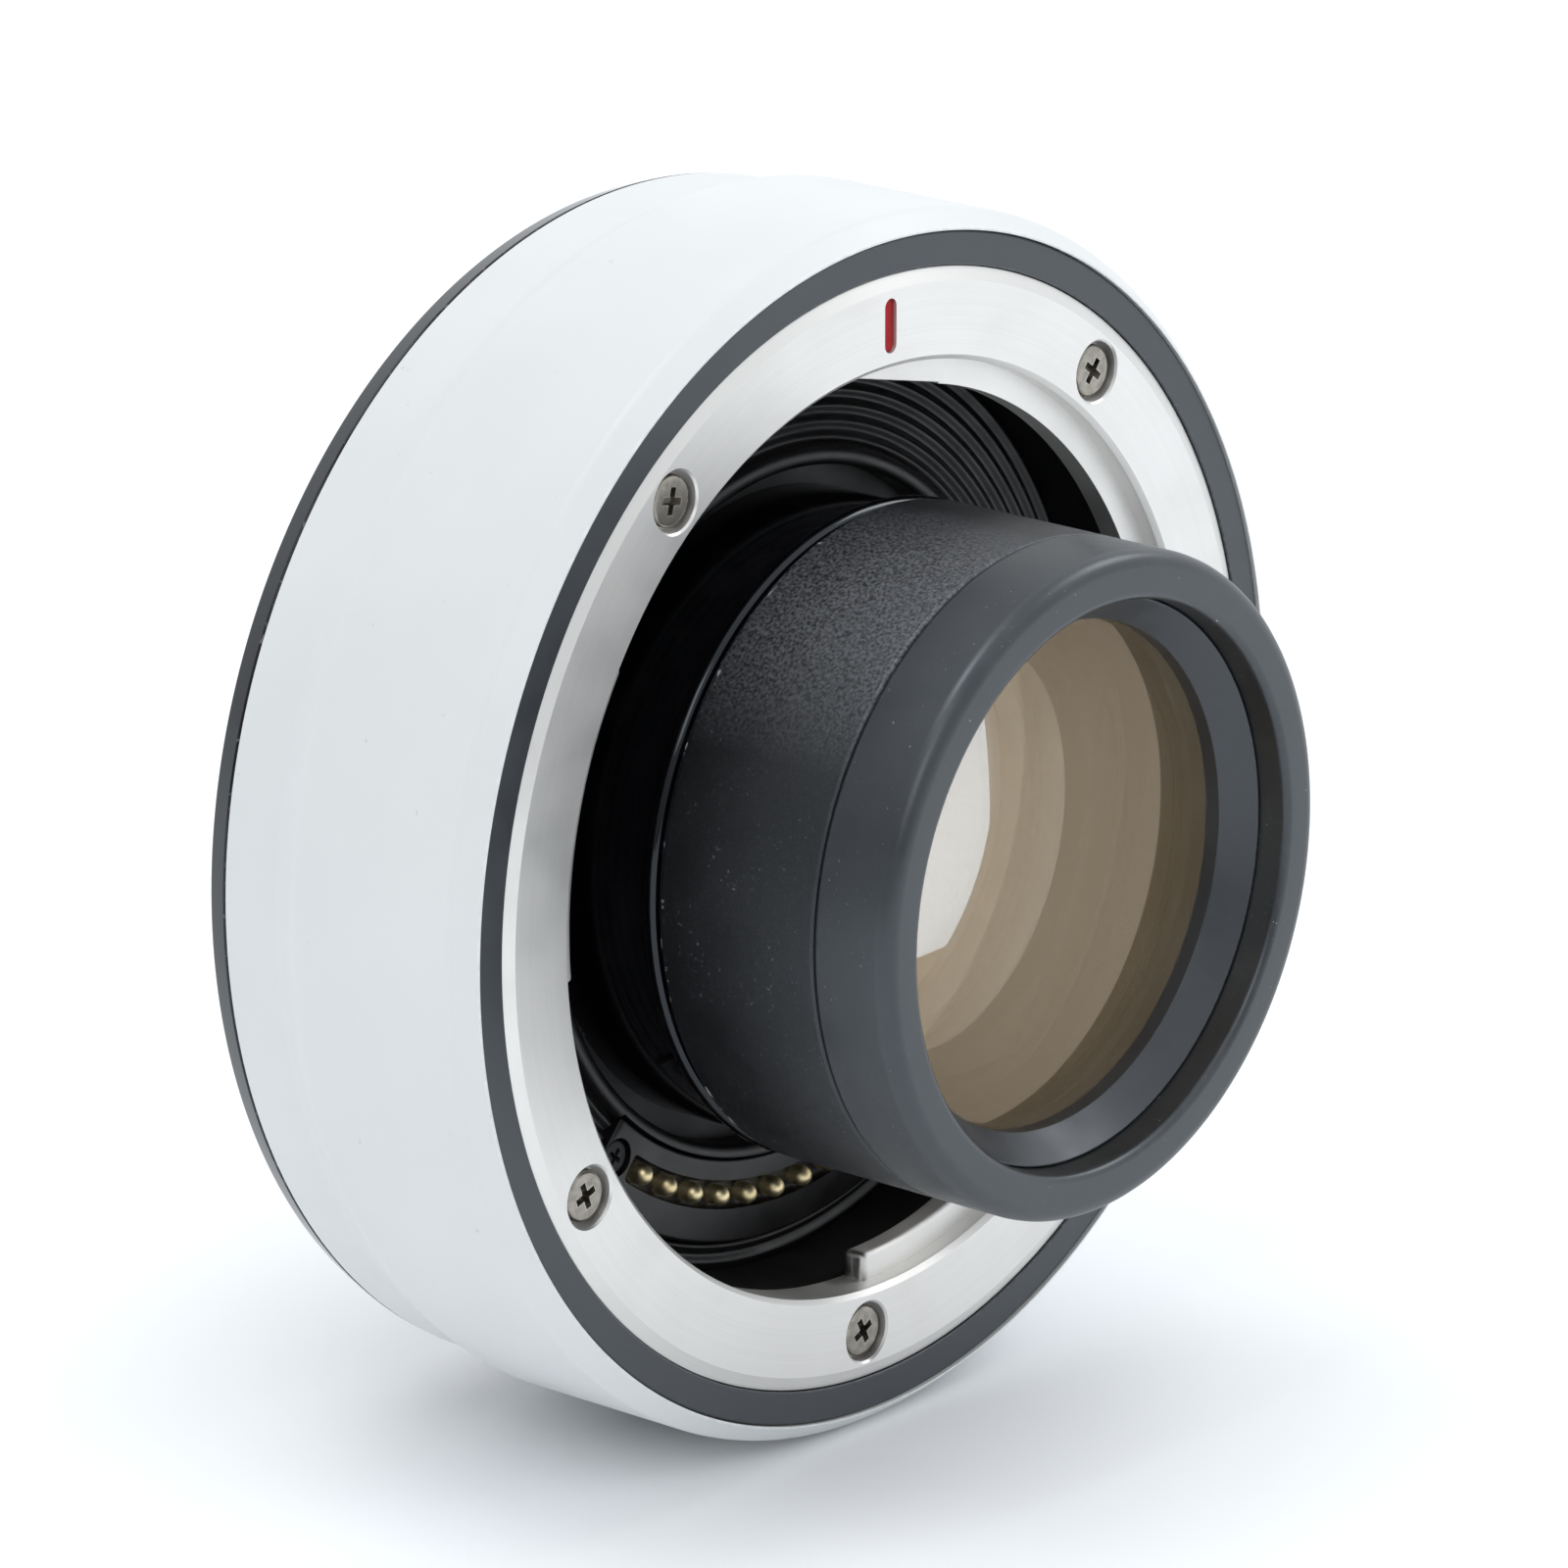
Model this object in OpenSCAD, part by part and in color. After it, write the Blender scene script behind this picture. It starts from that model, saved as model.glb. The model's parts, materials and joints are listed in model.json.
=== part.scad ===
// Teleconverter: a short tube with a male bayonet behind, a female bayonet in front
// and a lens barrel that reaches out of the front mount.
// Each piece is drawn round the optical axis with z = 0 on the rear flange and +z towards the front.
// The whole part is then turned so that the front looks along -Y and the index mark is up.

/* [Barrel] */
// Outer radius of the lens barrel
barrel_r = 19.1; // [18:0.1:21]
// How far the barrel's tip stands out of the front mount face
barrel_reach = 15.8; // [14:0.1:19]
// Wall of the barrel's cover tube
cover_wall = 1.85; // [1.2:0.05:2.4]
// Wall of the lens cell round the front lens group
cell_wall = 1.75; // [1.2:0.05:2.4]
// Wall of the lens cell round the rear lens group
rear_cell_wall = 1.95; // [1.2:0.05:2.6]
// Length of the rubber tip ring
tip_length = 5.3; // [4.6:0.1:6.5]
// Width of the tip ring's rim
tip_rim = 2.8; // [2.4:0.05:3]
// Round of the tip ring's outer edge
tip_round = 1; // [0.4:0.1:1.3]
// Depth from the tip's rim to the front retaining ring
tip_recess = 1.85; // [1:0.05:2.5]
// Depth of the retaining ring's cone
cone_depth = 1.75; // [1:0.05:2.4]
// Width of the retaining ring's cone
cone_width = 1.65; // [1:0.05:1.9]
// Step from the barrel to the neck of its base ring
neck_step = 0.7; // [0.3:0.05:1.2]
// Height of the bead on the base ring
bead_height = 1.1; // [0.6:0.1:2]
// Depth of the bead's front edge behind the front mount face
bead_setback = 0.95; // [0.6:0.05:1.5]
// Thickness of the lens cell's mounting flange
cell_flange_t = 2; // [1.6:0.1:2.6]

/* [Optics] */
// Radius of the front doublet's first face, domed
doublet_front = 210; // [150:1:260]
// Radius of the front doublet's cemented face
doublet_joint = 94; // [60:1:140]
// Radius of the front doublet's last face, hollow
doublet_rear = 76; // [60:1:120]
// Edge thickness of the front doublet's domed glass
doublet_edge = 2.2; // [1.6:0.1:2.6]
// Centre thickness of the front doublet's hollow glass
doublet_t = 2.9; // [2:0.1:3.4]
// Radius of the hollow single glass's front face
single_front = 290; // [150:1:300]
// Radius of the hollow single glass's rear face
single_rear = 240; // [150:1:300]
// Centre thickness of the hollow single glass
single_t = 2.1; // [1.6:0.1:2.6]
// Radius of the triplet's first face, domed
triplet_front = 52; // [45:1:80]
// Radius of the triplet's front cemented face
triplet_joint_1 = 58; // [40:1:80]
// Radius of the triplet's rear cemented face
triplet_joint_2 = 28; // [26:1:40]
// Radius of the triplet's last face, domed
triplet_rear = 150; // [100:1:250]
// Edge thickness of the triplet's front glass
triplet_edge_1 = 2.5; // [1.8:0.1:2.8]
// Centre thickness of the triplet's middle glass
triplet_t = 2.8; // [2.2:0.1:3.2]
// Edge thickness of the triplet's rear glass
triplet_edge_2 = 3; // [2.2:0.1:3.2]
// Radius of the rear single glass's front face, domed
last_front = 36; // [32:1:60]
// Radius of the rear single glass's rear face, hollow
last_rear = 115; // [80:1:200]
// Centre thickness of the rear single glass
last_t = 4.2; // [3.8:0.1:4.6]
// Radius of the rear lens group
rear_lens_r = 13.4; // [12.6:0.1:14]
// Radius of the stop between the two groups
stop_r = 12.3; // [11:0.1:12.4]
// Thickness of the stop's web
stop_t = 1.2; // [1:0.1:2]
// Length of the front spacer at the lens edges
front_spacer_t = 1; // [0.8:0.1:2]
// Length of the rear spacer at the lens edges
rear_spacer_t = 2.9; // [2.4:0.1:4]
// Length of the rear retaining ring
rear_ring_t = 1.9; // [1.2:0.1:2.5]
// Width of the picture window in the rear light baffle
window_w = 25; // [18:0.5:25]
// Height of the picture window in the rear light baffle
window_h = 17; // [12:0.5:18]

/* [Mounts] */
// Distance from the rear flange to the front mount face
flange_distance = 20.3; // [19.5:0.1:24]
// Width of the well between the barrel and the throat
well_width = 8; // [7.8:0.1:10]
// Depth of the well below the front mount face
well_depth = 8; // [7.6:0.1:8.8]
// Width of the mount ring's face outside the throat
face_width = 5.3; // [5:0.1:6.5]
// Thickness of the front mount ring
mount_t = 2.8; // [2.4:0.1:3.2]
// How far the bayonet lugs reach into the throat
lug_reach = 1.6; // [1.2:0.1:1.9]
// Angle covered by the widest front lug
lug_angle = 73; // [60:1:75]
// Angle covered by each rear lug
rear_lug_angle = 48; // [30:1:49]
// Depth of the front lugs behind the mount face
lug_setback = 1.3; // [0.8:0.1:1.6]
// Thickness of the rear flange
rear_flange_t = 2; // [1.8:0.1:2.4]
// Wall of the rear bayonet tube
rear_tube_wall = 1.5; // [1.2:0.1:1.7]
// Length of the rear bayonet tube behind the flange
rear_tube_length = 5.2; // [4.8:0.1:6]
// Thickness of the rear lugs
rear_lug_t = 1.4; // [1:0.1:1.6]
// Pitch circle of the front mount screws, outside the throat
screw_inset = 2.5; // [2.4:0.1:2.9]
// Radius of the front screw recesses
recess_r = 1.77; // [1.6:0.01:1.9]
// Radius of the mount screw heads
head_r = 1.5; // [1.2:0.05:1.55]
// Radius of the mount screw shanks
shank_r = 0.85; // [0.7:0.05:1]
// Thickness of the shim under the rear flange
shim_t = 0.2; // [0.1:0.05:0.4]

/* [Shell] */
// Width of the front trim ring
trim_width = 1.95; // [1.5:0.05:2.5]
// Thickness of the front trim ring
trim_t = 1.85; // [1.4:0.05:2.2]
// Depth of the trim ring's face behind the mount face
trim_setback = 0.15; // [0:0.05:0.4]
// Width of the shell's front bevel
bevel_width = 1.05; // [0.5:0.05:1.4]
// Length of the shell's front bevel
bevel_length = 1.3; // [0.6:0.05:2]
// Wall of the shell's front band
shell_wall = 1.9; // [1.6:0.05:1.95]
// Step from the front band down to the rear band
band_step = 0.85; // [0.3:0.05:1]
// Where the step's slope starts, from the rear flange
band_start = 5.8; // [4.5:0.1:7]
// Length of the step's slope
band_slope = 1.7; // [0.8:0.1:1.9]
// Width of the rear trim ring that shows
rear_trim_t = 1.6; // [1.2:0.05:1.8]
// Taper of the rear trim ring
rear_trim_taper = 0.5; // [0.1:0.05:0.7]
// Radial width of the rear seal ring
seal_width = 0.85; // [0.6:0.05:0.9]
// How far the seal's lip stands behind the flange
seal_lip = 0.6; // [0.2:0.1:1]

/* [Contacts] */
// Number of contact pins
pin_count = 12; // [8:1:12]
// Angle between contact pins
pin_pitch = 6.2; // [5.8:0.1:6.4]
// Radius of a contact pin
pin_r = 0.6; // [0.45:0.05:0.65]
// Press travel of a contact pin
pin_travel = 0.6; // [0.3:0.05:0.8]
// How far the pins stand out of their trough
pin_height = 1.3; // [1.2:0.05:1.6]
// Distance of the pin circle inside the lugs
pin_inset = 2.85; // [2.7:0.05:2.9]

/* [Release] */
// Place of the lock pin round the mount, from the right-hand side
lock_angle = 352; // [350:1:354]
// Radius of the lock pin
lock_pin_r = 1.3; // [1:0.05:1.35]
// How far the lock pin stands out of the mount face
lock_reach = 1.6; // [1:0.1:2]
// How far the lock pin draws back
lock_travel = 1.8; // [1.4:0.1:2]
// How far the release lever turns
lever_turn = 8; // [6:0.5:9]
// How far the lever's knob stands out of the shell
knob_height = 1.4; // [0.8:0.1:2.5]
// Angle covered by the lever's knob
knob_angle = 8; // [6:0.5:9]
// Length of the lever's knob along the axis
knob_length = 4.8; // [3.6:0.1:5]

/* [Hidden] */
$fn = 96;
slip = 0.05;
fit_gap = 0.02;
ring_gap = 0.05;
lens_clear = 0.05;
bore_gap = 0.1;
chamfer = 0.3;
edge_land = 0.6;
loose = 0.25;
loose_angle = 1;
// How far a cut runs past a face, and how far joined shapes run into each other
over = 1;
sink = 0.1;

// Radii from the barrel inwards and outwards
cover_bore_r = barrel_r - cover_wall;
cell_r = cover_bore_r - slip;
cell_bore_r = cell_r - cell_wall;
lens_r = cell_bore_r - lens_clear;
tip_bore_r = barrel_r - tip_rim;
ring_r = min(tip_bore_r - slip, cell_r);
cone_r = ring_r - cone_width;
neck_r = barrel_r - neck_step;
rear_bore_r = rear_lens_r + lens_clear;
rear_cell_r = rear_bore_r + rear_cell_wall;
throat_r = barrel_r + well_width;
lug_r = throat_r - lug_reach;
mount_r = throat_r + face_width;
screw_circle_r = throat_r + screw_inset;
trim_in_r = mount_r + ring_gap;
trim_r = trim_in_r + trim_width;
shell_mouth_r = trim_r + ring_gap;
edge_width = 0.1;
body_r = shell_mouth_r + edge_width + bevel_width;
shell_bore_r = body_r - shell_wall;
rear_band_r = body_r - band_step;
lug_run = 0.2;
groove_r = throat_r + lug_run;
pin_circle_r = lug_r - pin_inset;

// Heights from the front mount face
face_z = flange_distance;
tip_z = face_z + barrel_reach;
seam_z = tip_z - tip_length;
mount_z = face_z - mount_t;
floor_z = face_z - well_depth;
trim_z = face_z - trim_setback - trim_t;
base_top_z = face_z - bead_setback;

// Heights inside the body
baffle_t = 1;
rib_h = 0.3;
baffle_z = floor_z - rib_h - baffle_t;
baffle_gap = 0.2;
web_t = 2;
web_z = baffle_z - baffle_gap - cell_flange_t;
web_low_z = web_z - web_t;
chassis_z = rear_flange_t + shim_t;

// Sag of a lens surface, and the height of its edge from its vertex
function sag(radius, r) = abs(radius) - sqrt(radius * radius - r * r);
function front_edge(v, radius, r) = radius > 0 ? v - sag(radius, r) : v + sag(radius, r - edge_land);
function rear_edge(v, radius, r) = radius < 0 ? v + sag(radius, r) : v - sag(radius, r - edge_land);

// Lens stack, from the front retaining ring to the stop
ring_top_z = tip_z - tip_recess;
seat_length = 0.9;
seat_z = ring_top_z - cone_depth - seat_length;
ring_flange_t = 1.25;
cell_front_z = ring_top_z - ring_flange_t;
v1 = seat_z + sag(doublet_front, cone_r) - fit_gap;
v2 = v1 - sag(doublet_front, lens_r) - doublet_edge - sag(doublet_joint, lens_r);
v3 = v2 - fit_gap;
v4 = v3 - doublet_t;
front_spacer_w = 1.3;
front_spacer_z = rear_edge(v4, doublet_rear, lens_r) - front_spacer_t;
v5 = front_spacer_z - sag(single_front, lens_r - edge_land);
v6 = v5 - single_t;
stop_z = rear_edge(v6, single_rear, lens_r);

// Lens stack, from the stop to the rear retaining ring
rear_spacer_w = 1.1;
rear_ring_w = 1.2;
spacer_bore_r = rear_lens_r - rear_spacer_w;
v7 = stop_z - stop_t + sag(triplet_front, stop_r) - fit_gap;
v8 = v7 - sag(triplet_front, rear_lens_r) - triplet_edge_1 - sag(triplet_joint_1, rear_lens_r);
v9 = v8 - fit_gap;
v10 = v9 - triplet_t;
v11 = v10 - fit_gap;
v12 = v11 - sag(triplet_joint_2, rear_lens_r) - triplet_edge_2 - sag(triplet_rear, rear_lens_r);
rear_spacer_top_z = v12 + sag(triplet_rear, spacer_bore_r) - fit_gap;
rear_spacer_z = rear_spacer_top_z - rear_spacer_t;
v13 = rear_spacer_z + sag(last_front, spacer_bore_r) - fit_gap;
v14 = v13 - last_t;
rear_ring_z = rear_edge(v14, last_rear, rear_lens_r) - rear_ring_t;
cell_overhang = 0.2;
cell_rear_z = rear_ring_z - cell_overhang;

// Chassis
chassis_r = mount_r - bore_gap;
chassis_flange_r = shell_bore_r - slip;
flange_t = 1.4;
front_flange_t = 2;
ledge_w = 0.9;
ledge_r = groove_r - ledge_w;
inner_wall_r = throat_r - bore_gap;
web_inset = 1.65;
web_bore_r = pin_circle_r - web_inset;
pocket_in = 0.8;
pocket_out = 1.3;
pocket_in_r = screw_circle_r - pocket_in;
pocket_out_r = screw_circle_r + pocket_out;
pocket_roof = 4.5;
pocket_z = mount_z - pocket_roof;
pocket_web = 5;
guide_rib_t = 1.5;
guide_gap = 0.3;
thread_end = 0.2;

// Front screws: five places round the mount, at the angles that the mount face shows
screw_angles = [51.5, 128, 210, 266.5, 330];
recess_depth = 1.2;
head_depth = 0.3;
screw_end_rise = 0.9;
screw_end_z = pocket_z + screw_end_rise;
rear_screw_angles = [20, 110, 200, 290];
rear_screw_length = 4.8;
rear_screw_end_z = chassis_z + rear_screw_length;
rear_recess_depth = 1.1;
rear_head_depth = 0.25;
screw_turn = 40;

// Front lugs: where each one starts, and how much narrower than the widest it is
lug_starts = [22, 146, 268.5];
lug_trims = [0, 33, 15];
lug_ends = [for (i = [0 : len(lug_starts) - 1]) lug_starts[i] + lug_angle - lug_trims[i]];
lug_gap = 2;
ramp_turn = 18;
ramp_r = lug_r + bore_gap;
ramp_length = sqrt(throat_r * throat_r - ramp_r * ramp_r) - bore_gap;
index_angle = 90;
index_width = 1;
index_in = 0.9;
index_out = 1.25;
index_in_r = throat_r + index_in;
index_out_r = mount_r - index_out;
index_depth = 0.5;
index_fill = 0.3;
leaf_t = 0.3;
leaf_reach = 0.9;
leaf_inset = 0.4;
leaf_gap = 0.5;
rim_bevel = 0.8;

// Contacts, centred on the bottom of the throat
contact_angle = 270;
pin_span = (pin_count - 1) * pin_pitch;
block_end_angle = 9.4;
block_half = pin_span / 2 + block_end_angle;
block_gap = 0.15;
block_gap_angle = 0.5;
foot_end_angle = 3;
foot_half = pin_span / 2 + foot_end_angle;
foot_gap = 0.2;
block_in = 2.05;
block_out = 2.85;
foot_w = 2.2;
block_rise = 0.4;
block_in_r = pin_circle_r - block_in;
block_out_r = pin_circle_r + block_out;
foot_in_r = pin_circle_r - foot_w / 2;
foot_out_r = pin_circle_r + foot_w / 2;
block_top_z = floor_z + block_rise;
trough_w = 1.7;
trough_depth = 0.6;
trough_z = block_top_z - trough_depth;
pin_tip_z = trough_z + pin_height;
bore_length = 0.9;
bore_top_z = trough_z - bore_length;
pin_play = 0.03;
collar_step = 0.25;
chamber_play = 0.08;
pin_bore_r = pin_r + pin_play;
collar_r = pin_r + collar_step;
chamber_r = collar_r + chamber_play;
collar_t = 0.85;
board_z = web_low_z;
contact_board_t = 0.4;
chamber_z = board_z + contact_board_t;
spring_top_z = bore_top_z - slip - collar_t - pin_travel - fit_gap;
block_screw_angle = 6.4;
block_screw_offset = pin_span / 2 + block_screw_angle;
small_head_r = 1;
small_head_t = 0.7;
small_recess = 0.9;
head_gap = 0.15;
small_shank_r = 0.6;

// Flange of the lens cell
cell_flange_out = 1.55;
cell_flange_r = pin_circle_r + cell_flange_out;
cell_screw_inset = 1.4;
cell_screw_r = cell_flange_r - cell_screw_inset;
cell_screw_angles = [30, 150, 210, 330];

// Circuit board and leads
main_board_t = 0.8;
ear_t = 1;
board_gap = 1.2;
main_board_z = rear_flange_t + ear_t + board_gap;
board_half = 78;
board_in = 2.2;
board_in_r = pin_circle_r - board_in;
wall_gap = 0.4;
board_out_r = inner_wall_r - wall_gap;
board_screw_offset = 65;
board_screw_shift = 1;
board_screw_r = (board_in_r + board_out_r) / 2 + board_screw_shift;
boss_r = 1.4;
board_screw_end_z = web_low_z + web_t / 2;
lead_w = 6;
lead_t = 0.3;
chip_w = 4.6;
chip_t = 1;
chip_offset = 52;

// Rear bayonet and its contacts
tube_run = 0.3;
rear_tube_r = lug_r - tube_run;
rear_tube_bore_r = rear_tube_r - rear_tube_wall;
rear_lug_r = throat_r - lug_run;
rear_lug_z = -mount_t - bore_gap - rear_lug_t;
rear_lug_starts = [30, 150, 270];
relief_r = rear_lug_r + tube_run;
relief_depth = 0.3;
rear_block_end_angle = 3.9;
rear_block_in = 1.75;
rear_block_half = pin_span / 2 + rear_block_end_angle;
rear_block_in_r = pin_circle_r - rear_block_in;
rear_block_out_r = rear_tube_bore_r - bore_gap;
rear_block_z = pin_tip_z - face_z + pin_travel - bore_gap;
ear_r = inner_wall_r - wall_gap;
ear_screw_angle = 4;
ear_floor = 0.5;
ear_screw_offset = pin_span / 2 - ear_screw_angle;
ear_screw_end_z = relief_depth + ear_floor;
ear_screw_r = (rear_tube_bore_r + ear_r) / 2;
pad_w = 1.4;
pad_l = 1.4;
pad_t = 0.3;
pad_rise = 0.1;
baffle_plate_t = 1.2;
baffle_cup_wall = 1;
baffle_cup_length = 2;
window_corner_r = 3;

// Lock pin and release lever
lock_chamber_play = 0.55;
lock_collar_step = 0.4;
lock_chamber_r = lock_pin_r + lock_chamber_play;
lock_collar_r = lock_pin_r + lock_collar_step;
lock_collar_t = 1.4;
lock_roof_rise = 0.3;
lock_roof_z = pocket_z + lock_roof_rise;
lock_collar_z = lock_roof_z - bore_gap - lock_collar_t;
lock_tail_r = lock_pin_r / 2;
lock_tail_z = chassis_z + lock_travel + bore_gap;
lock_foot_r = 0.6;
lock_foot_z = lock_collar_z + lock_collar_t / 2;
lock_tip_z = face_z + lock_reach;
slot_gap = 0.15;
lever_in_r = chassis_r + loose;
lever_out_r = shell_bore_r - loose;
lever_top_z = trim_z - front_flange_t - guide_gap;
cam_margin = 2.45;
lever_low_z = lock_foot_z - lock_travel - cam_margin;
lever_margin = 3;
lever_lead = lever_turn + lever_margin;
knob_start = 5;
knob_rise = 1.6;
knob_low_z = lever_low_z + knob_rise;
knob_r = body_r + knob_height;
knob_side_gap = 0.6;
knob_gap = 0.3;
lever_tail = knob_start + knob_angle + lever_turn + lever_margin;
cam_steps = 12;

pin_names = [for (i = [1 : pin_count]) str("contact_pin_", i < 10 ? "0" : "", i)];
lens_names = [for (i = [1 : 7]) str("lens_element_", i)];

// Turns the optical axis from +z to -Y, with the drawing's y axis up
module on_axis() {
  rotate([90, 0, 0]) children();
}

// Puts its children at an angle round the axis, at a radius and height
module at(angle, r = 0, z = 0) {
  rotate([0, 0, angle]) translate([r, 0, z]) children();
}

module ring(r_in, r_out, z0, z1) {
  rotate_extrude() translate([r_in, z0]) square([r_out - r_in, z1 - z0]);
}

module sector(r_in, r_out, z0, z1, a0, a1) {
  rotate([0, 0, a0]) rotate_extrude(angle = a1 - a0)
    translate([r_in, z0]) square([r_out - r_in, z1 - z0]);
}

module post(r, z0, z1) {
  translate([0, 0, z0]) cylinder(r = r, h = z1 - z0);
}

// A round bar that points outwards from the axis
module spoke(r, r0, r1, angle, z) {
  at(angle, r0, z) rotate([0, 90, 0]) cylinder(r = r, h = r1 - r0);
}

// Screw with its head up at z_head and a cross recess
module screw(r_head, t_head, r_shank, z_head, z_end) {
  cross_l = r_head * 1.15;
  cross_w = r_head * 0.3;
  cross_d = t_head * 0.6;
  difference() {
    union() {
      post(r_shank, z_end, z_head - t_head);
      post(r_head, z_head - t_head, z_head);
    }
    for (turn = [0, 90]) rotate([0, 0, turn]) translate([-cross_l / 2, -cross_w / 2, z_head - cross_d])
      cube([cross_l, cross_w, t_head]);
  }
}

// Glass element between two spherical faces: a radius over 0 has its centre behind the face
module element(r, v_front, radius_front, v_rear, radius_rear) {
  top = radius_front > 0 ? v_front : front_edge(v_front, radius_front, r);
  low = radius_rear < 0 ? v_rear : rear_edge(v_rear, radius_rear, r);
  rotate_extrude() difference() {
    intersection() {
      translate([0, low]) square([r, top - low]);
      if (radius_front > 0) translate([0, v_front - radius_front]) lens_circle(radius_front);
      if (radius_rear < 0) translate([0, v_rear - radius_rear]) lens_circle(-radius_rear);
    }
    if (radius_front < 0) translate([0, v_front - radius_front]) lens_circle(-radius_front);
    if (radius_rear > 0) translate([0, v_rear - radius_rear]) lens_circle(radius_rear);
  }
}

module lens_circle(radius) {
  circle(r = radius, $fn = 720);
}

// Wire coil between two heights, as one closed tube of triangles
module coil(mean_r, wire_r, z0, z1, turns, steps, sides) {
  rings = turns * steps;
  rise = (z1 - z0 - 2 * wire_r) / rings;
  points = [for (i = [0 : rings], j = [0 : sides - 1])
    let (a = 360 * i / steps, b = 360 * j / sides, r = mean_r + wire_r * cos(b))
    [r * cos(a), r * sin(a), z0 + wire_r + rise * i + wire_r * sin(b)]];
  walls = [for (i = [0 : rings - 1], j = [0 : sides - 1])
    let (k = i * sides, n = (j + 1) % sides)
    each [[k + j, k + n, k + sides + j], [k + n, k + sides + n, k + sides + j]]];
  low_cap = [for (j = [1 : sides - 2]) [0, j + 1, j]];
  top_cap = [for (j = [1 : sides - 2]) [0, j, j + 1] + [1, 1, 1] * rings * sides];
  polyhedron(points = points, faces = concat(walls, low_cap, top_cap));
}

// Slot with round ends, along the radius
module radial_slot(r_in, r_out, width, z0, z1) {
  for (r = [r_in + width / 2, r_out - width / 2]) translate([r, 0, z0]) cylinder(d = width, h = z1 - z0);
  translate([r_in + width / 2, -width / 2, z0]) cube([r_out - r_in - width, width, z1 - z0]);
}

module outer_shell() {
  slope_end = band_start + band_slope;
  color("whitesmoke") on_axis() difference() {
    rotate_extrude() polygon([
      [shell_bore_r, rear_trim_t], [rear_band_r, rear_trim_t], [rear_band_r, band_start],
      [body_r, slope_end], [body_r, face_z - bevel_length],
      [shell_mouth_r + edge_width, face_z], [shell_mouth_r, face_z],
      [shell_mouth_r, trim_z], [shell_bore_r, trim_z]]);
    sector(shell_bore_r - over, body_r + over, knob_low_z - knob_gap, knob_low_z + knob_length + knob_gap,
      lock_angle + knob_start - knob_side_gap,
      lock_angle + knob_start + knob_angle + lever_turn + knob_side_gap);
  }
}

module rear_trim_ring() {
  in_r = trim_in_r + seal_width + ring_gap;
  color("black") on_axis() rotate_extrude() polygon([
    [in_r, ring_gap], [rear_band_r - rear_trim_taper, ring_gap], [rear_band_r, rear_trim_t],
    [chassis_flange_r, rear_trim_t], [chassis_flange_r, chassis_z], [in_r, chassis_z]]);
}

module rear_seal_ring() {
  tip_w = seal_width * 0.4;
  color("dimgray") on_axis() rotate_extrude() polygon([
    [trim_in_r, chassis_z], [trim_in_r, 0], [trim_in_r + seal_width - tip_w, -seal_lip],
    [trim_in_r + seal_width, -seal_lip], [trim_in_r + seal_width, chassis_z]]);
}

module front_trim_ring() {
  color("dimgray") on_axis() ring(trim_in_r, trim_r, trim_z, trim_z + trim_t);
}

module chassis() {
  rib_z = lever_low_z - guide_gap;
  screw_step = 360 / len(rear_screw_angles);
  slot_w = 2 * (lock_foot_r + slot_gap);
  color("dimgray") on_axis() difference() {
    union() {
      rotate_extrude() polygon([
        [ledge_r, web_z], [ledge_r, baffle_z], [groove_r, baffle_z], [groove_r, mount_z],
        [trim_in_r, mount_z], [trim_in_r, trim_z], [chassis_flange_r, trim_z],
        [chassis_flange_r, trim_z - front_flange_t], [chassis_r, trim_z - front_flange_t],
        [chassis_r, chassis_z + flange_t], [chassis_flange_r, chassis_z + flange_t],
        [chassis_flange_r, chassis_z], [inner_wall_r, chassis_z],
        [inner_wall_r, web_low_z], [web_bore_r, web_low_z], [web_bore_r, web_z]]);
      ring(chassis_r - sink, lever_out_r, rib_z - guide_rib_t, rib_z);
      for (side = [-1, 1]) at(contact_angle + side * board_screw_offset, board_screw_r)
        post(boss_r, main_board_z + main_board_t, web_low_z + sink);
    }
    // Hollows between the rear screws
    for (a = rear_screw_angles) sector(pocket_in_r, pocket_out_r, chassis_z - over, pocket_z,
      a + pocket_web, a + screw_step - pocket_web);
    // Seats of the leaf springs
    for (i = [0 : len(lug_starts) - 1])
      sector(groove_r - over, groove_r + leaf_reach + slip, mount_z - leaf_t, mount_z + over,
        lug_starts[i] + lug_gap - leaf_gap, lug_ends[i] - lug_gap + leaf_gap);
    // Screw holes
    for (a = screw_angles) at(a, screw_circle_r) post(shank_r + slip, screw_end_z - thread_end, mount_z + over);
    for (a = rear_screw_angles) at(a, screw_circle_r)
      post(shank_r + slip, chassis_z - over, rear_screw_end_z + thread_end);
    for (a = cell_screw_angles) at(a, cell_screw_r)
      post(small_shank_r + slip, web_low_z - over, web_z + over);
    for (side = [-1, 1]) {
      at(contact_angle + side * board_screw_offset, board_screw_r)
        post(small_shank_r + slip, main_board_z - over, board_screw_end_z + thread_end);
      at(contact_angle + side * block_screw_offset, pin_circle_r)
        post(small_shank_r + slip, web_low_z - over, web_z + over);
    }
    // Slot for the contact block's foot
    sector(foot_in_r - slip, foot_out_r + slip, web_low_z - over, web_z + over,
      contact_angle - foot_half - foot_gap, contact_angle + foot_half + foot_gap);
    // Guide bore and chamber of the lock pin, and the slot for its foot
    at(lock_angle, screw_circle_r) {
      post(lock_pin_r + slip, lock_roof_z - over, mount_z + over);
      post(lock_chamber_r, chassis_z - over, lock_roof_z);
      translate([0, -slot_w / 2, lock_foot_z - lock_travel - slot_w / 2])
        cube([lever_out_r - screw_circle_r + over, slot_w, lock_travel + slot_w]);
    }
  }
}

// Flat cut that lets the end of the first lug run out into the throat
module lug_ramp(r, z0, z1) {
  at(lug_ends[0] - ramp_turn, 0, z0) cube([r, ramp_length, z1 - z0]);
}

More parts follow.
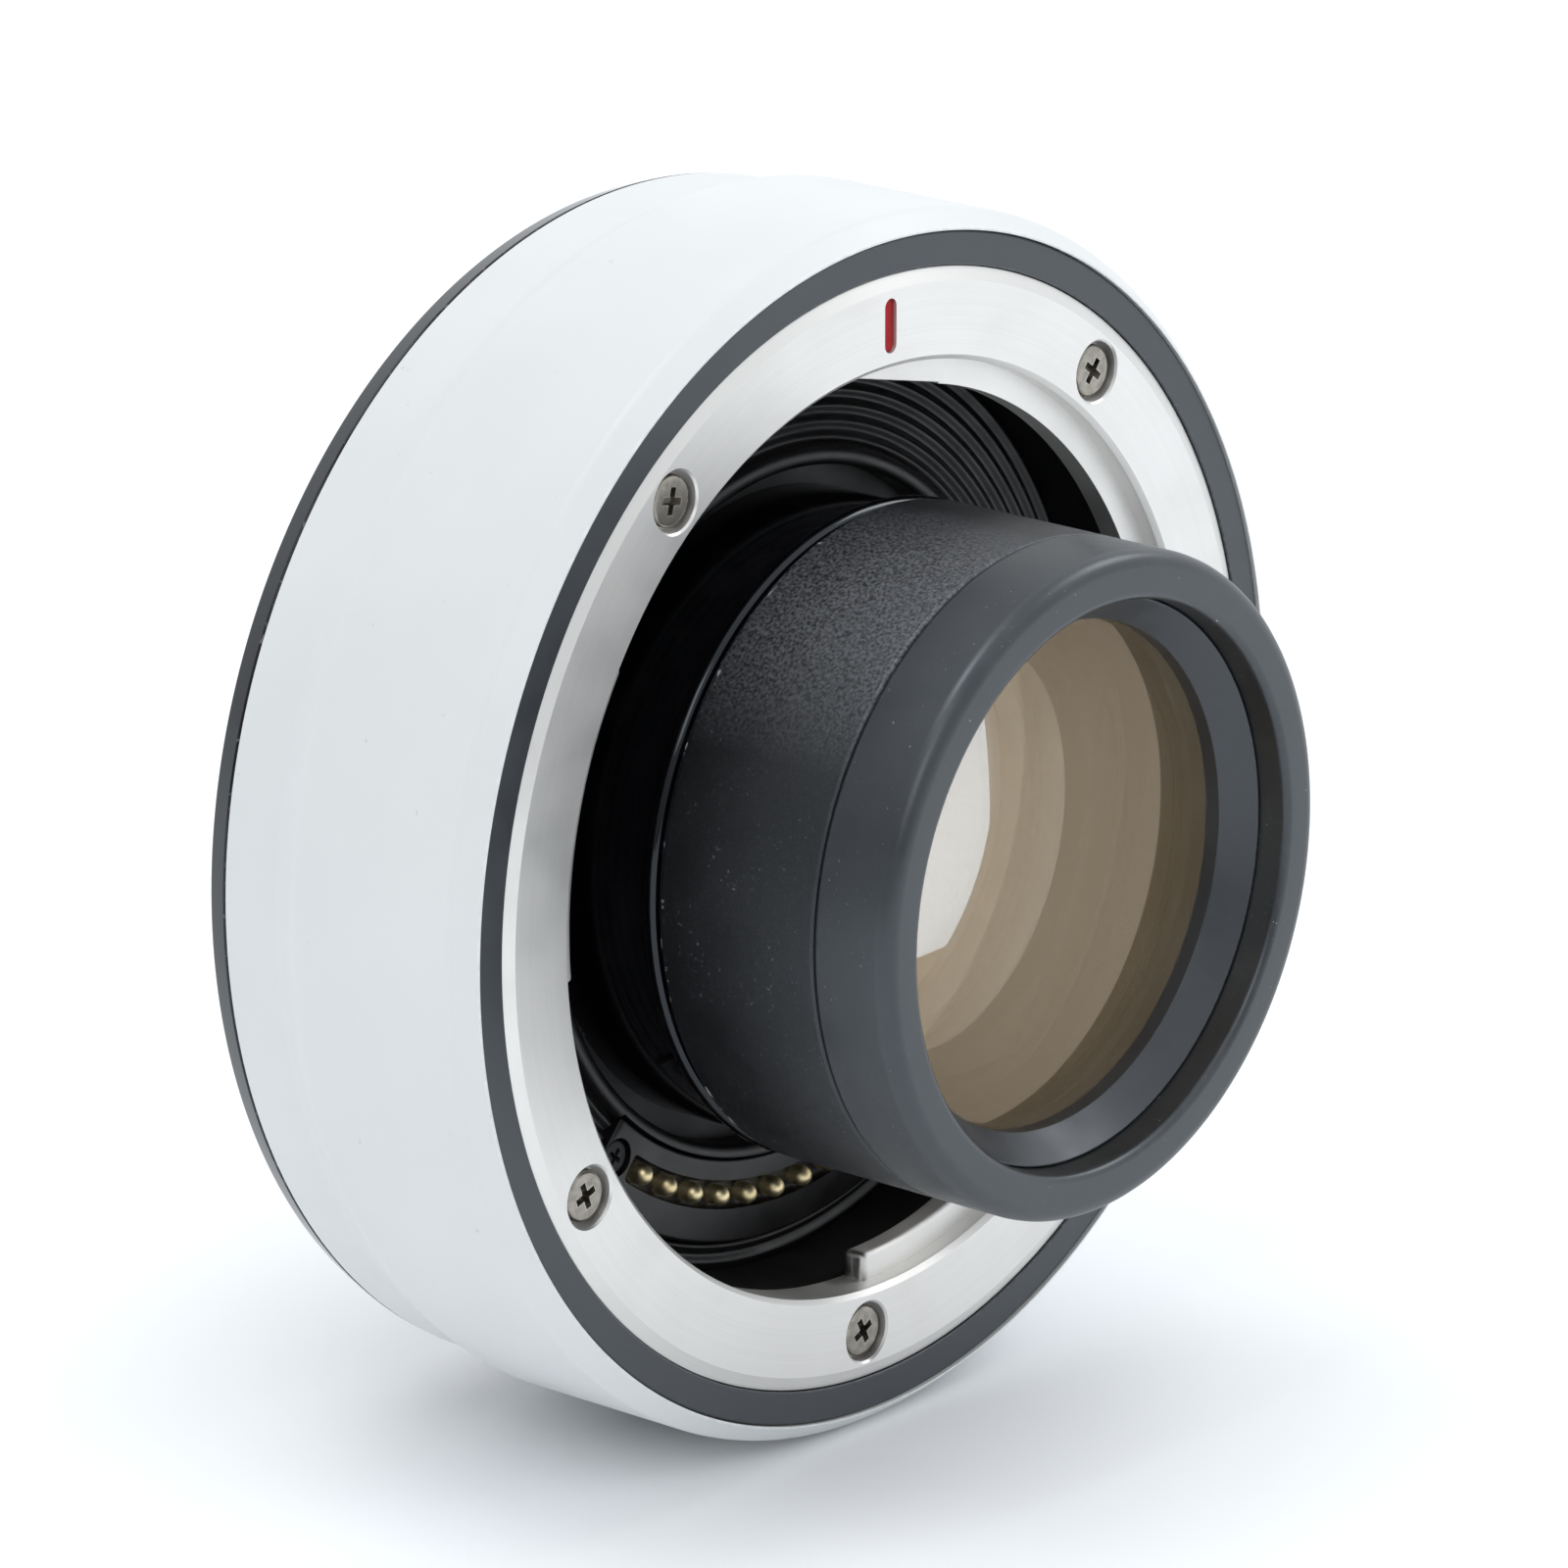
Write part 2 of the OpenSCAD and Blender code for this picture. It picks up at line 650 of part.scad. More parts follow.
module front_mount_ring() {
  color("silver") on_axis() difference() {
    union() {
      rotate_extrude() polygon([
        [throat_r, mount_z], [mount_r, mount_z], [mount_r, face_z - chamfer], [mount_r - rim_bevel, face_z],
        [throat_r + chamfer, face_z], [throat_r, face_z - chamfer]]);
      for (i = [0 : len(lug_starts) - 1])
        sector(lug_r, throat_r + sink, mount_z, face_z - lug_setback, lug_starts[i], lug_ends[i]);
    }
    for (a = screw_angles) at(a, screw_circle_r) {
      post(recess_r, face_z - recess_depth, face_z + over);
      post(shank_r + bore_gap, mount_z - over, face_z);
    }
    lug_ramp(ramp_r, mount_z - over, face_z - lug_setback + over);
    at(index_angle) radial_slot(index_in_r, index_out_r, index_width, face_z - index_depth, face_z + over);
    at(lock_angle, screw_circle_r) post(lock_pin_r + slip, mount_z - over, face_z + over);
  }
}

module mount_leaf_springs() {
  color("gainsboro") on_axis() difference() {
    for (i = [0 : len(lug_starts) - 1])
      sector(lug_r + leaf_inset, groove_r + leaf_reach, mount_z - leaf_t, mount_z,
        lug_starts[i] + lug_gap, lug_ends[i] - lug_gap);
    lug_ramp(ramp_r + leaf_inset, mount_z - leaf_t - over, mount_z + over);
  }
}

module front_mount_screws() {
  color("darkgray") on_axis() for (i = [0 : len(screw_angles) - 1]) at(screw_angles[i], screw_circle_r)
    rotate([0, 0, screw_turn * i])
    screw(head_r, recess_depth - head_depth, shank_r, face_z - head_depth, screw_end_z);
}

module index_mark() {
  color("crimson") on_axis() at(index_angle) radial_slot(index_in_r + fit_gap, index_out_r - fit_gap,
    index_width - 2 * fit_gap, face_z - index_depth, face_z - index_depth + index_fill);
}

// Floor of the well: a plate with a rounded inner lip and concentric ribs
rib_count = 6;
rib_w = 0.45;
barrel_gap = 0.64;
lip_r = 0.55;
module front_light_baffle() {
  in_r = barrel_r + barrel_gap;
  out_r = groove_r - bore_gap;
  first_r = in_r + 2 * lip_r + rib_w;
  pitch = (out_r - rib_w - first_r) / rib_count;
  color("black") on_axis() difference() {
    union() {
      ring(in_r, out_r, baffle_z, baffle_z + baffle_t);
      ring(in_r, in_r + 2 * lip_r, baffle_z, floor_z);
      rotate_extrude() translate([in_r + lip_r, floor_z]) circle(r = lip_r);
      for (i = [0 : rib_count]) ring(first_r + i * pitch, first_r + i * pitch + rib_w, baffle_z, floor_z);
    }
    sector(block_in_r - block_gap, block_out_r + block_gap, baffle_z - over, block_top_z + over,
      contact_angle - block_half - block_gap_angle, contact_angle + block_half + block_gap_angle);
  }
}

module lens_cell() {
  color("black") on_axis() difference() {
    rotate_extrude() polygon([
      [rear_bore_r, cell_rear_z], [rear_cell_r, cell_rear_z], [rear_cell_r, web_z],
      [cell_flange_r, web_z], [cell_flange_r, web_z + cell_flange_t], [cell_r, web_z + cell_flange_t],
      [cell_r, cell_front_z], [cell_bore_r, cell_front_z], [cell_bore_r, stop_z],
      [stop_r, stop_z], [stop_r, stop_z - stop_t], [rear_bore_r, stop_z - stop_t]]);
    for (a = cell_screw_angles) at(a, cell_screw_r) {
      post(small_shank_r + slip, web_z - over, web_z + cell_flange_t + over);
      post(small_head_r + head_gap, web_z + cell_flange_t - small_recess, web_z + cell_flange_t + over);
    }
    sector(block_in_r - block_gap, cell_flange_r + over, web_z - over, web_z + cell_flange_t + over,
      contact_angle - block_half - block_gap_angle, contact_angle + block_half + block_gap_angle);
  }
}

module lens_cell_screws() {
  color("darkgray") on_axis() for (a = cell_screw_angles) at(a, cell_screw_r)
    screw(small_head_r, small_head_t, small_shank_r, web_z + cell_flange_t - small_recess + small_head_t,
      web_low_z + guide_gap);
}

module barrel_cover() {
  groove_w = 0.35;
  groove_d = 0.5;
  color([0.1, 0.1, 0.11]) on_axis() rotate_extrude() polygon([
    [cover_bore_r, base_top_z], [barrel_r - groove_d, base_top_z], [barrel_r - groove_d, base_top_z + groove_w],
    [barrel_r, base_top_z + groove_w], [barrel_r, seam_z], [cover_bore_r, seam_z]]);
}

module barrel_base_ring() {
  bead_z = base_top_z - bead_height;
  round_r = bead_height / 2;
  color("black") on_axis() union() {
    ring(cover_bore_r, neck_r, web_z + cell_flange_t, bead_z + round_r);
    ring(cover_bore_r, barrel_r - round_r, bead_z, base_top_z);
    rotate_extrude() translate([barrel_r - round_r, bead_z + round_r]) circle(r = round_r);
  }
}

module tip_ring() {
  inner_round = 0.5;
  outer_arc = [for (a = [0 : 15 : 90])
    [barrel_r - tip_round + tip_round * cos(a), tip_z - tip_round + tip_round * sin(a)]];
  inner_arc = [for (a = [90 : 22.5 : 180])
    [tip_bore_r + inner_round + inner_round * cos(a), tip_z - inner_round + inner_round * sin(a)]];
  color([0.3, 0.31, 0.33]) on_axis() rotate_extrude() polygon(concat(
    [[cover_bore_r, seam_z], [barrel_r, seam_z]], outer_arc, inner_arc,
    [[tip_bore_r, cell_front_z], [cover_bore_r, cell_front_z]]));
}

module front_retaining_ring() {
  color([0.22, 0.23, 0.25]) on_axis() rotate_extrude() polygon([
    [cone_r, seat_z], [cell_bore_r - slip, seat_z], [cell_bore_r - slip, cell_front_z],
    [ring_r, cell_front_z], [ring_r, ring_top_z], [cone_r, ring_top_z - cone_depth]]);
}

module lens_element(i) {
  color([0.75, 0.7, 0.6, 0.6]) on_axis() {
    if (i == 1) element(lens_r, v1, doublet_front, v2, -doublet_joint);
    if (i == 2) element(lens_r, v3, -doublet_joint, v4, doublet_rear);
    if (i == 3) element(lens_r, v5, -single_front, v6, single_rear);
    if (i == 4) element(rear_lens_r, v7, triplet_front, v8, -triplet_joint_1);
    if (i == 5) element(rear_lens_r, v9, -triplet_joint_1, v10, triplet_joint_2);
    if (i == 6) element(rear_lens_r, v11, triplet_joint_2, v12, -triplet_rear);
    if (i == 7) element(rear_lens_r, v13, last_front, v14, last_rear);
  }
}

module front_spacer() {
  color("black") on_axis() ring(lens_r - front_spacer_w, lens_r, front_spacer_z, front_spacer_z + front_spacer_t);
}

module rear_spacer() {
  color("black") on_axis() ring(spacer_bore_r, rear_lens_r, rear_spacer_z, rear_spacer_top_z);
}

module rear_retaining_ring() {
  color("black") on_axis() ring(rear_lens_r - rear_ring_w, rear_lens_r, rear_ring_z, rear_ring_z + rear_ring_t);
}

// Window with round corners, centred on the axis
module window(w, h, corner, z0, z1) {
  translate([0, 0, z0]) linear_extrude(z1 - z0) {
    square([w - 2 * corner, h], center = true);
    square([w, h - 2 * corner], center = true);
    for (x = [-1, 1], y = [-1, 1]) translate([x * (w / 2 - corner), y * (h / 2 - corner)]) circle(r = corner);
  }
}

module rear_light_baffle() {
  cup_r = rear_cell_r + slip;
  color("black") on_axis() difference() {
    union() {
      post(rear_tube_bore_r - tube_run, cell_rear_z - baffle_plate_t, cell_rear_z);
      ring(cup_r, cup_r + baffle_cup_wall, cell_rear_z - sink, cell_rear_z + baffle_cup_length);
    }
    window(window_w, window_h, window_corner_r, cell_rear_z - baffle_plate_t - over, cell_rear_z + over);
    sector(rear_block_in_r - loose, rear_tube_bore_r, cell_rear_z - baffle_plate_t - over, cell_rear_z + over,
      contact_angle - rear_block_half - loose_angle, contact_angle + rear_block_half + loose_angle);
  }
}

// Angles of the pins, from left to right along the bottom of the throat
function pin_angle(i) = contact_angle - pin_span / 2 + (i - 1) * pin_pitch;

module front_contact_block() {
  color("black") on_axis() difference() {
    union() {
      sector(block_in_r, block_out_r, web_z, block_top_z, contact_angle - block_half, contact_angle + block_half);
      sector(foot_in_r, foot_out_r, chamber_z, web_z + sink, contact_angle - foot_half, contact_angle + foot_half);
    }
    sector(pin_circle_r - trough_w / 2, pin_circle_r + trough_w / 2, trough_z, block_top_z + over,
      contact_angle - foot_half, contact_angle + foot_half);
    for (i = [1 : pin_count]) at(pin_angle(i), pin_circle_r) {
      post(chamber_r, chamber_z - over, bore_top_z);
      post(pin_bore_r, bore_top_z - over, trough_z + over);
    }
    for (side = [-1, 1]) at(contact_angle + side * block_screw_offset, pin_circle_r) {
      post(small_shank_r + slip, web_z - over, block_top_z + over);
      post(small_head_r + head_gap, block_top_z - small_recess, block_top_z + over);
    }
  }
}

module front_contact_screws() {
  color("darkgray") on_axis() for (side = [-1, 1])
    at(contact_angle + side * block_screw_offset, pin_circle_r)
    screw(small_head_r, small_head_t, small_shank_r, block_top_z - small_recess + small_head_t,
      web_low_z + guide_gap);
}

module contact_pin(i) {
  shoulder_z = bore_top_z - slip;
  color("gold") on_axis() at(pin_angle(i), pin_circle_r) union() {
    post(collar_r, shoulder_z - collar_t, shoulder_z);
    post(pin_r, shoulder_z - sink, pin_tip_z - pin_r);
    translate([0, 0, pin_tip_z - pin_r]) sphere(r = pin_r);
  }
}

module contact_springs() {
  wire_r = 0.1;
  color("goldenrod") on_axis() for (i = [1 : pin_count]) at(pin_angle(i), pin_circle_r)
    coil(pin_r, wire_r, chamber_z + fit_gap, spring_top_z, turns = 4, steps = 8, sides = 4);
}

module front_contact_board() {
  color("darkgreen") on_axis() sector(foot_in_r, foot_out_r, board_z, chamber_z,
    contact_angle - foot_half, contact_angle + foot_half);
}

module lead(z0, z1) {
  at(contact_angle, pin_circle_r - lead_t / 2, z0) translate([0, -lead_w / 2, 0]) cube([lead_t, lead_w, z1 - z0]);
}

module front_flex_lead() {
  color("darkorange") on_axis() lead(main_board_z + main_board_t, board_z);
}

module rear_flex_lead() {
  color("darkorange") on_axis() lead(rear_flange_t + ear_t, main_board_z);
}

module main_board() {
  color("darkgreen") on_axis() difference() {
    sector(board_in_r, board_out_r, main_board_z, main_board_z + main_board_t,
      contact_angle - board_half, contact_angle + board_half);
    for (side = [-1, 1]) at(contact_angle + side * board_screw_offset, board_screw_r)
      post(small_shank_r + slip, main_board_z - over, main_board_z + main_board_t + over);
  }
}

module main_chip() {
  color([0.12, 0.12, 0.12]) on_axis()
    at(contact_angle - chip_offset, (board_in_r + board_out_r) / 2, main_board_z - chip_t)
    translate([-chip_w / 2, -chip_w / 2, 0]) cube([chip_w, chip_w, chip_t]);
}

module board_screws() {
  color("darkgray") on_axis() for (side = [-1, 1])
    at(contact_angle + side * board_screw_offset, board_screw_r) mirror([0, 0, 1])
    screw(small_head_r, small_head_t, small_shank_r, small_head_t - main_board_z, -board_screw_end_z);
}

module rear_mount() {
  color("silver") on_axis() difference() {
    union() {
      rotate_extrude() polygon([
        [rear_tube_bore_r, rear_flange_t], [mount_r, rear_flange_t], [mount_r, chamfer / 2],
        [mount_r - chamfer / 2, 0], [relief_r, 0], [relief_r, relief_depth], [rear_tube_r, relief_depth],
        [rear_tube_r, chamfer - rear_tube_length], [rear_tube_r - chamfer, -rear_tube_length],
        [rear_tube_bore_r, -rear_tube_length]]);
      for (a = rear_lug_starts)
        sector(rear_tube_r - sink, rear_lug_r, rear_lug_z, rear_lug_z + rear_lug_t, a, a + rear_lug_angle);
    }
    for (a = rear_screw_angles) at(a, screw_circle_r) {
      post(head_r + head_gap, -over, rear_recess_depth);
      post(shank_r + bore_gap, -over, rear_flange_t + over);
    }
    for (side = [-1, 1]) at(contact_angle + side * ear_screw_offset, ear_screw_r)
      post(small_shank_r + slip, ear_screw_end_z - bore_gap, rear_flange_t + over);
    // Socket for the camera's lock pin
    at(lock_angle, screw_circle_r) post(lock_pin_r + bore_gap, -over, lock_reach - bore_gap);
    // Recess of the index mark
    at(index_angle, screw_circle_r) post(index_width, -over, index_fill);
  }
}

module rear_mount_screws() {
  color("darkgray") on_axis() for (i = [0 : len(rear_screw_angles) - 1]) at(rear_screw_angles[i], screw_circle_r)
    rotate([0, 0, screw_turn * i]) mirror([0, 0, 1])
    screw(head_r, rear_recess_depth - rear_head_depth, shank_r, -rear_head_depth, -rear_screw_end_z);
}

module flange_shim() {
  color("darkkhaki") on_axis() difference() {
    ring(inner_wall_r + bore_gap, chassis_r - bore_gap, rear_flange_t, chassis_z);
    for (a = rear_screw_angles) at(a, screw_circle_r) post(shank_r + bore_gap, rear_flange_t - over, chassis_z + over);
  }
}

module rear_index_mark() {
  color("crimson") on_axis() at(index_angle, screw_circle_r) post(index_width - fit_gap, bore_gap, index_fill);
}

module rear_contact_block() {
  color("black") on_axis() difference() {
    union() {
      sector(rear_block_in_r, rear_block_out_r, rear_block_z, rear_flange_t + ear_t,
        contact_angle - rear_block_half, contact_angle + rear_block_half);
      sector(rear_block_in_r, ear_r, rear_flange_t, rear_flange_t + ear_t,
        contact_angle - rear_block_half, contact_angle + rear_block_half);
    }
    for (i = [1 : pin_count]) at(pin_angle(i), pin_circle_r, rear_block_z)
      translate([-pad_l / 2, -pad_w / 2, -over]) cube([pad_l, pad_w, pad_t + over]);
    for (side = [-1, 1]) at(contact_angle + side * ear_screw_offset, ear_screw_r)
      post(small_shank_r + slip, rear_flange_t - over, rear_flange_t + ear_t + over);
  }
}

module rear_contact_pads() {
  size = [pad_l - 2 * fit_gap, pad_w - 2 * fit_gap, pad_t + pad_rise];
  color("gold") on_axis() for (i = [1 : pin_count]) at(pin_angle(i), pin_circle_r, rear_block_z - pad_rise)
    translate([-size.x / 2, -size.y / 2, 0]) cube(size);
}

module rear_contact_screws() {
  color("darkgray") on_axis() for (side = [-1, 1])
    at(contact_angle + side * ear_screw_offset, ear_screw_r)
    screw(small_head_r, small_head_t, small_shank_r, rear_flange_t + ear_t + small_head_t, ear_screw_end_z);
}

// Sliding plate between the chassis and the shell, with a cam slot for the lock pin's foot and a knob outside
module release_lever() {
  knob_edge = 0.6;
  grip_r = 0.3;
  grip_count = 4;
  color([0.12, 0.12, 0.13]) on_axis() difference() {
    union() {
      sector(lever_in_r, lever_out_r, lever_low_z, lever_top_z, lock_angle - lever_lead, lock_angle + lever_tail);
      rotate([0, 0, lock_angle + knob_start]) rotate_extrude(angle = knob_angle) polygon([
        [lever_out_r - sink, knob_low_z], [knob_r - knob_edge, knob_low_z], [knob_r, knob_low_z + knob_edge],
        [knob_r, knob_low_z + knob_length - knob_edge], [knob_r - knob_edge, knob_low_z + knob_length],
        [lever_out_r - sink, knob_low_z + knob_length]]);
    }
    for (i = [0 : cam_steps])
      spoke(lock_foot_r + slot_gap, lever_in_r - over, lever_out_r + over,
        lock_angle - lever_turn * i / cam_steps, lock_foot_z - lock_travel * i / cam_steps);
    for (i = [1 : grip_count]) at(lock_angle + knob_start + knob_angle * i / (grip_count + 1), knob_r)
      post(grip_r, knob_low_z - over, knob_low_z + knob_length + over);
  }
}

module lock_pin() {
  tip_edge = 0.35;
  foot_end_r = lever_out_r - slip;
  color("silver") on_axis() union() {
    at(lock_angle, screw_circle_r) rotate_extrude() polygon([
      [0, lock_tail_z], [lock_tail_r, lock_tail_z], [lock_tail_r, lock_collar_z], [lock_collar_r, lock_collar_z],
      [lock_collar_r, lock_collar_z + lock_collar_t], [lock_pin_r, lock_collar_z + lock_collar_t],
      [lock_pin_r, lock_tip_z - tip_edge], [lock_pin_r - tip_edge, lock_tip_z], [0, lock_tip_z]]);
    spoke(lock_foot_r, screw_circle_r, foot_end_r, lock_angle, lock_foot_z);
  }
}

module lock_spring() {
  wire_r = 0.22;
  coil_gap = 0.25;
  color("gainsboro") on_axis() at(lock_angle, screw_circle_r)
    coil(lock_tail_r + coil_gap + wire_r, wire_r, chassis_z + fit_gap, lock_collar_z - fit_gap,
      turns = 7, steps = 10, sides = 6);
}

outer_shell();
rear_trim_ring();
rear_seal_ring();
front_trim_ring();
chassis();
front_mount_ring();
mount_leaf_springs();
front_mount_screws();
index_mark();
front_light_baffle();
lens_cell();
lens_cell_screws();
barrel_cover();
barrel_base_ring();
tip_ring();
front_retaining_ring();
front_spacer();
rear_spacer();
rear_retaining_ring();
rear_light_baffle();
front_contact_block();
front_contact_screws();
contact_springs();
front_contact_board();
front_flex_lead();
rear_flex_lead();
main_board();
main_chip();
board_screws();
rear_mount();
rear_mount_screws();
flange_shim();
rear_index_mark();
rear_contact_block();
rear_contact_pads();
rear_contact_screws();
release_lever();
lock_pin();
lock_spring();
for (i = [1 : 7]) lens_element(i);
for (i = [1 : pin_count]) contact_pin(i);
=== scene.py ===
import json
import math

import bmesh
import bpy
from mathutils import Matrix, Vector


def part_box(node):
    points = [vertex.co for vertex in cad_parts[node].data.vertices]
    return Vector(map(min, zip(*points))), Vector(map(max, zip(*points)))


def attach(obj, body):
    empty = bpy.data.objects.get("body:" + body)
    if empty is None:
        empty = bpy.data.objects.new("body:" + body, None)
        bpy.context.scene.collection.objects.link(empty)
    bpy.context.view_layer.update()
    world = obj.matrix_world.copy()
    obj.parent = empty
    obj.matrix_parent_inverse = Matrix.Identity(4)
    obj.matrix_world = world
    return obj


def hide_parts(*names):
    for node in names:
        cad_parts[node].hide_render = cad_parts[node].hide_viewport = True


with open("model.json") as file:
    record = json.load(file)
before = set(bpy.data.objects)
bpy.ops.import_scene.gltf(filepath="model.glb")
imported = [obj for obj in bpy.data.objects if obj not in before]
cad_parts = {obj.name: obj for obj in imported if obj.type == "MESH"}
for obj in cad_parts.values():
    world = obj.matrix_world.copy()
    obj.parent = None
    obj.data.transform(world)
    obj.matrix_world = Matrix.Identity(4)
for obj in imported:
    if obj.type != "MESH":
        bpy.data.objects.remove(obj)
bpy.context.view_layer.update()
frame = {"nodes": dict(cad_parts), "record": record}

# Pieces are drawn in millimetres round the optical axis: z forward from the rear flange, y up,
# and angles run from +x towards +y as the front shows them. TO_FRAME turns that into the frame.
MM = 0.001
TO_FRAME = Matrix.Scale(MM, 4) @ Matrix.Rotation(math.radians(90), 4, "X")
SEGMENTS = 288
SMALL_SEGMENTS = 48
ARC_STEPS = 6
SHARP_ANGLE = math.radians(32)
OVER = 1.0


def ends(node):
    """Outer radius, rear end and front end of a round node."""
    low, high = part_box(node)
    return high.x / MM, -high.y / MM, -low.y / MM


# Sizes from the frame
BARREL_R, BASE_TOP, SEAM = ends("barrel_cover")
TIP = ends("tip_ring")[2]
MOUNT_R, MOUNT_LOW, FACE = ends("front_mount_ring")
TRIM_R, TRIM_LOW, TRIM_TOP = ends("front_trim_ring")
BODY_R, SHELL_LOW, SHELL_TOP = ends("outer_shell")
BAFFLE_R, BAFFLE_LOW, BAFFLE_TOP = ends("front_light_baffle")
BLOCK_LOW, BLOCK_TOP = ends("front_contact_block")[1:]
PIN_LOW, PIN_TIP = ends("contact_pin_01")[1:]
NECK_LOW = ends("barrel_base_ring")[1]
CONE_R, CONE_LOW, CONE_TOP = ends("front_retaining_ring")
REAR_END, REAR_MOUNT_TOP = ends("rear_mount")[1:]
KNOB_R, LEVER_LOW, LEVER_TOP = ends("release_lever")
LOCK_LOW, LOCK_TIP = ends("lock_pin")[1:]

# Sizes and angles that several pieces share
THROAT_R = 27.1
LUG_R = 25.5
SCREW_CIRCLE_R = 29.6
PIN_CIRCLE_R = 22.65
CELL_R = 17.25
BAND_R = BODY_R - 0.85
CONE_STEP = CONE_TOP - 1.25
LUG_SPANS = ((22, 95), (146, 186), (268.5, 326.5))
RUN_OUT_ANGLE = 77
RUN_OUT_LENGTH = 8.79
REAR_LUG_STARTS = (30, 150, 270)
REAR_LUG_SWEEP = 48
SCREW_ANGLES = (51.5, 128, 210, 266.5, 330)
REAR_SCREW_ANGLES = (20, 110, 200, 290)
SCREW_TURN = 40
CONTACT_ANGLE = 270
CONTACT_SCREW_ANGLES = (CONTACT_ANGLE - 40.5, CONTACT_ANGLE + 40.5)
PIN_COUNT = 12
PIN_PITCH = 6.2
LOCK_ANGLE = 352
INDEX_ANGLE = 90
INDEX_R = 29.575
INDEX_LENGTH = 3.15
INDEX_WIDTH = 1.0
PIN_ANGLES = [CONTACT_ANGLE + (i - (PIN_COUNT - 1) / 2) * PIN_PITCH for i in range(PIN_COUNT)]


# Mesh helpers

def spot(angle, radius=0.0, z=0.0, turn=0.0):
    """Matrix that puts a shape at an angle and a radius, turned about its own axis."""
    place = Matrix.Rotation(math.radians(angle), 4, "Z") @ Matrix.Translation((radius, 0, z))
    return place @ Matrix.Rotation(math.radians(turn), 4, "Z")


def arc(centre, radius, start, end, steps=ARC_STEPS):
    """Points of an arc in the (r, z) plane, from one angle to another in degrees."""
    turns = [math.radians(start + (end - start) * k / steps) for k in range(steps + 1)]
    return [(centre[0] + radius * math.cos(a), centre[1] + radius * math.sin(a)) for a in turns]


def rounded(corners):
    """A closed outline from (r, z) or (r, z, round) corners, with each round as an arc."""
    points = []
    for i, corner in enumerate(corners):
        here = Vector(corner[:2])
        if len(corner) == 2:
            points.append(tuple(here))
            continue
        before = (Vector(corners[i - 1][:2]) - here).normalized()
        after = (Vector(corners[(i + 1) % len(corners)][:2]) - here).normalized()
        half = before.angle(after) / 2
        centre = here + (before + after).normalized() * corner[2] / math.sin(half)
        first = here + before * corner[2] / math.tan(half) - centre
        last = here + after * corner[2] / math.tan(half) - centre
        sweep = math.atan2(first.cross(last), first.dot(last))
        start = math.atan2(first.y, first.x)
        for k in range(ARC_STEPS + 1):
            a = start + sweep * k / ARC_STEPS
            points.append((centre.x + corner[2] * math.cos(a), centre.y + corner[2] * math.sin(a)))
    return points


def outward(bm):
    """Turns every face of a closed mesh to the outside."""
    bm.normal_update()
    bmesh.ops.recalc_face_normals(bm, faces=bm.faces)
    if bm.calc_volume(signed=True) < 0:
        bmesh.ops.reverse_faces(bm, faces=bm.faces)
    return bm


def lathe(outline, start=0.0, sweep=360.0, segments=SEGMENTS, place=None):
    """Turns a closed outline of (r, z) points round the axis, all the way or over a sector."""
    full = sweep >= 360
    steps = max(2, round(segments * sweep / 360))
    bm = bmesh.new()
    rings = []
    for k in range(steps if full else steps + 1):
        a = math.radians(start + sweep * k / steps)
        rings.append([bm.verts.new((r * math.cos(a), r * math.sin(a), z)) for r, z in outline])
    for k in range(steps):
        one, two = rings[k], rings[(k + 1) % len(rings)]
        for i in range(len(outline)):
            j = (i + 1) % len(outline)
            if outline[i][0] > 0 or outline[j][0] > 0:
                bm.faces.new((one[i], two[i], two[j], one[j]))
    if not full:
        bm.faces.new(rings[0])
        bm.faces.new(rings[-1])
    bmesh.ops.remove_doubles(bm, verts=bm.verts, dist=1e-5)
    if place:
        bm.transform(place)
    return outward(bm)


def sector(r_in, r_out, z0, z1, start, end):
    """A block that follows the axis round, from one angle to another."""
    return lathe([(r_in, z0), (r_out, z0), (r_out, z1), (r_in, z1)], start, end - start)


def contact_sector(r_in, r_out, z0, z1, half):
    """A sector centred on the contacts, which reaches this half angle to each side."""
    return sector(r_in, r_out, z0, z1, CONTACT_ANGLE - half, CONTACT_ANGLE + half)


def small_lathe(outline, place):
    return lathe(outline, segments=SMALL_SEGMENTS, place=place)


def cylinder(r, z0, z1, place):
    return small_lathe([(0, z0), (r, z0), (r, z1), (0, z1)], place)


def flared_hole(r, flare, bottom, mouth, place):
    """A cutter for a round hole from its bottom out through a face, with a chamfer at its mouth."""
    out = math.copysign(1, mouth - bottom)
    proud = 0.05
    return small_lathe([
        (0, bottom), (r, bottom), (r, mouth - out * (flare - proud)), (r + flare, mouth + out * proud),
        (r + flare, mouth + out * OVER), (0, mouth + out * OVER)], place)


def capsule(length, width, z0, z1, place):
    """An upright prism with round ends, its length along x."""
    straight = (length - width) / 2
    outline = arc((straight, 0), width / 2, -90, 90, steps=16)
    outline += arc((-straight, 0), width / 2, 90, 270, steps=16)
    bm = bmesh.new()
    low, high = ([bm.verts.new((x, y, z)) for x, y in outline] for z in (z0, z1))
    for i in range(len(outline)):
        bm.faces.new((low[i - 1], low[i], high[i], high[i - 1]))
    bm.faces.new(low)
    bm.faces.new(high)
    bm.transform(place)
    return outward(bm)


def block(size, place):
    """A box of (x, y, z) size round the place's origin."""
    bm = bmesh.new()
    bmesh.ops.create_cube(bm, size=1.0, matrix=place @ Matrix.Diagonal((*size, 1)))
    return bm


def merged(meshes):
    """All the meshes as one, side by side."""
    whole = bmesh.new()
    for bm in meshes:
        mesh = bpy.data.meshes.new("part")
        bm.to_mesh(mesh)
        bm.free()
        whole.from_mesh(mesh)
        bpy.data.meshes.remove(mesh)
    return whole


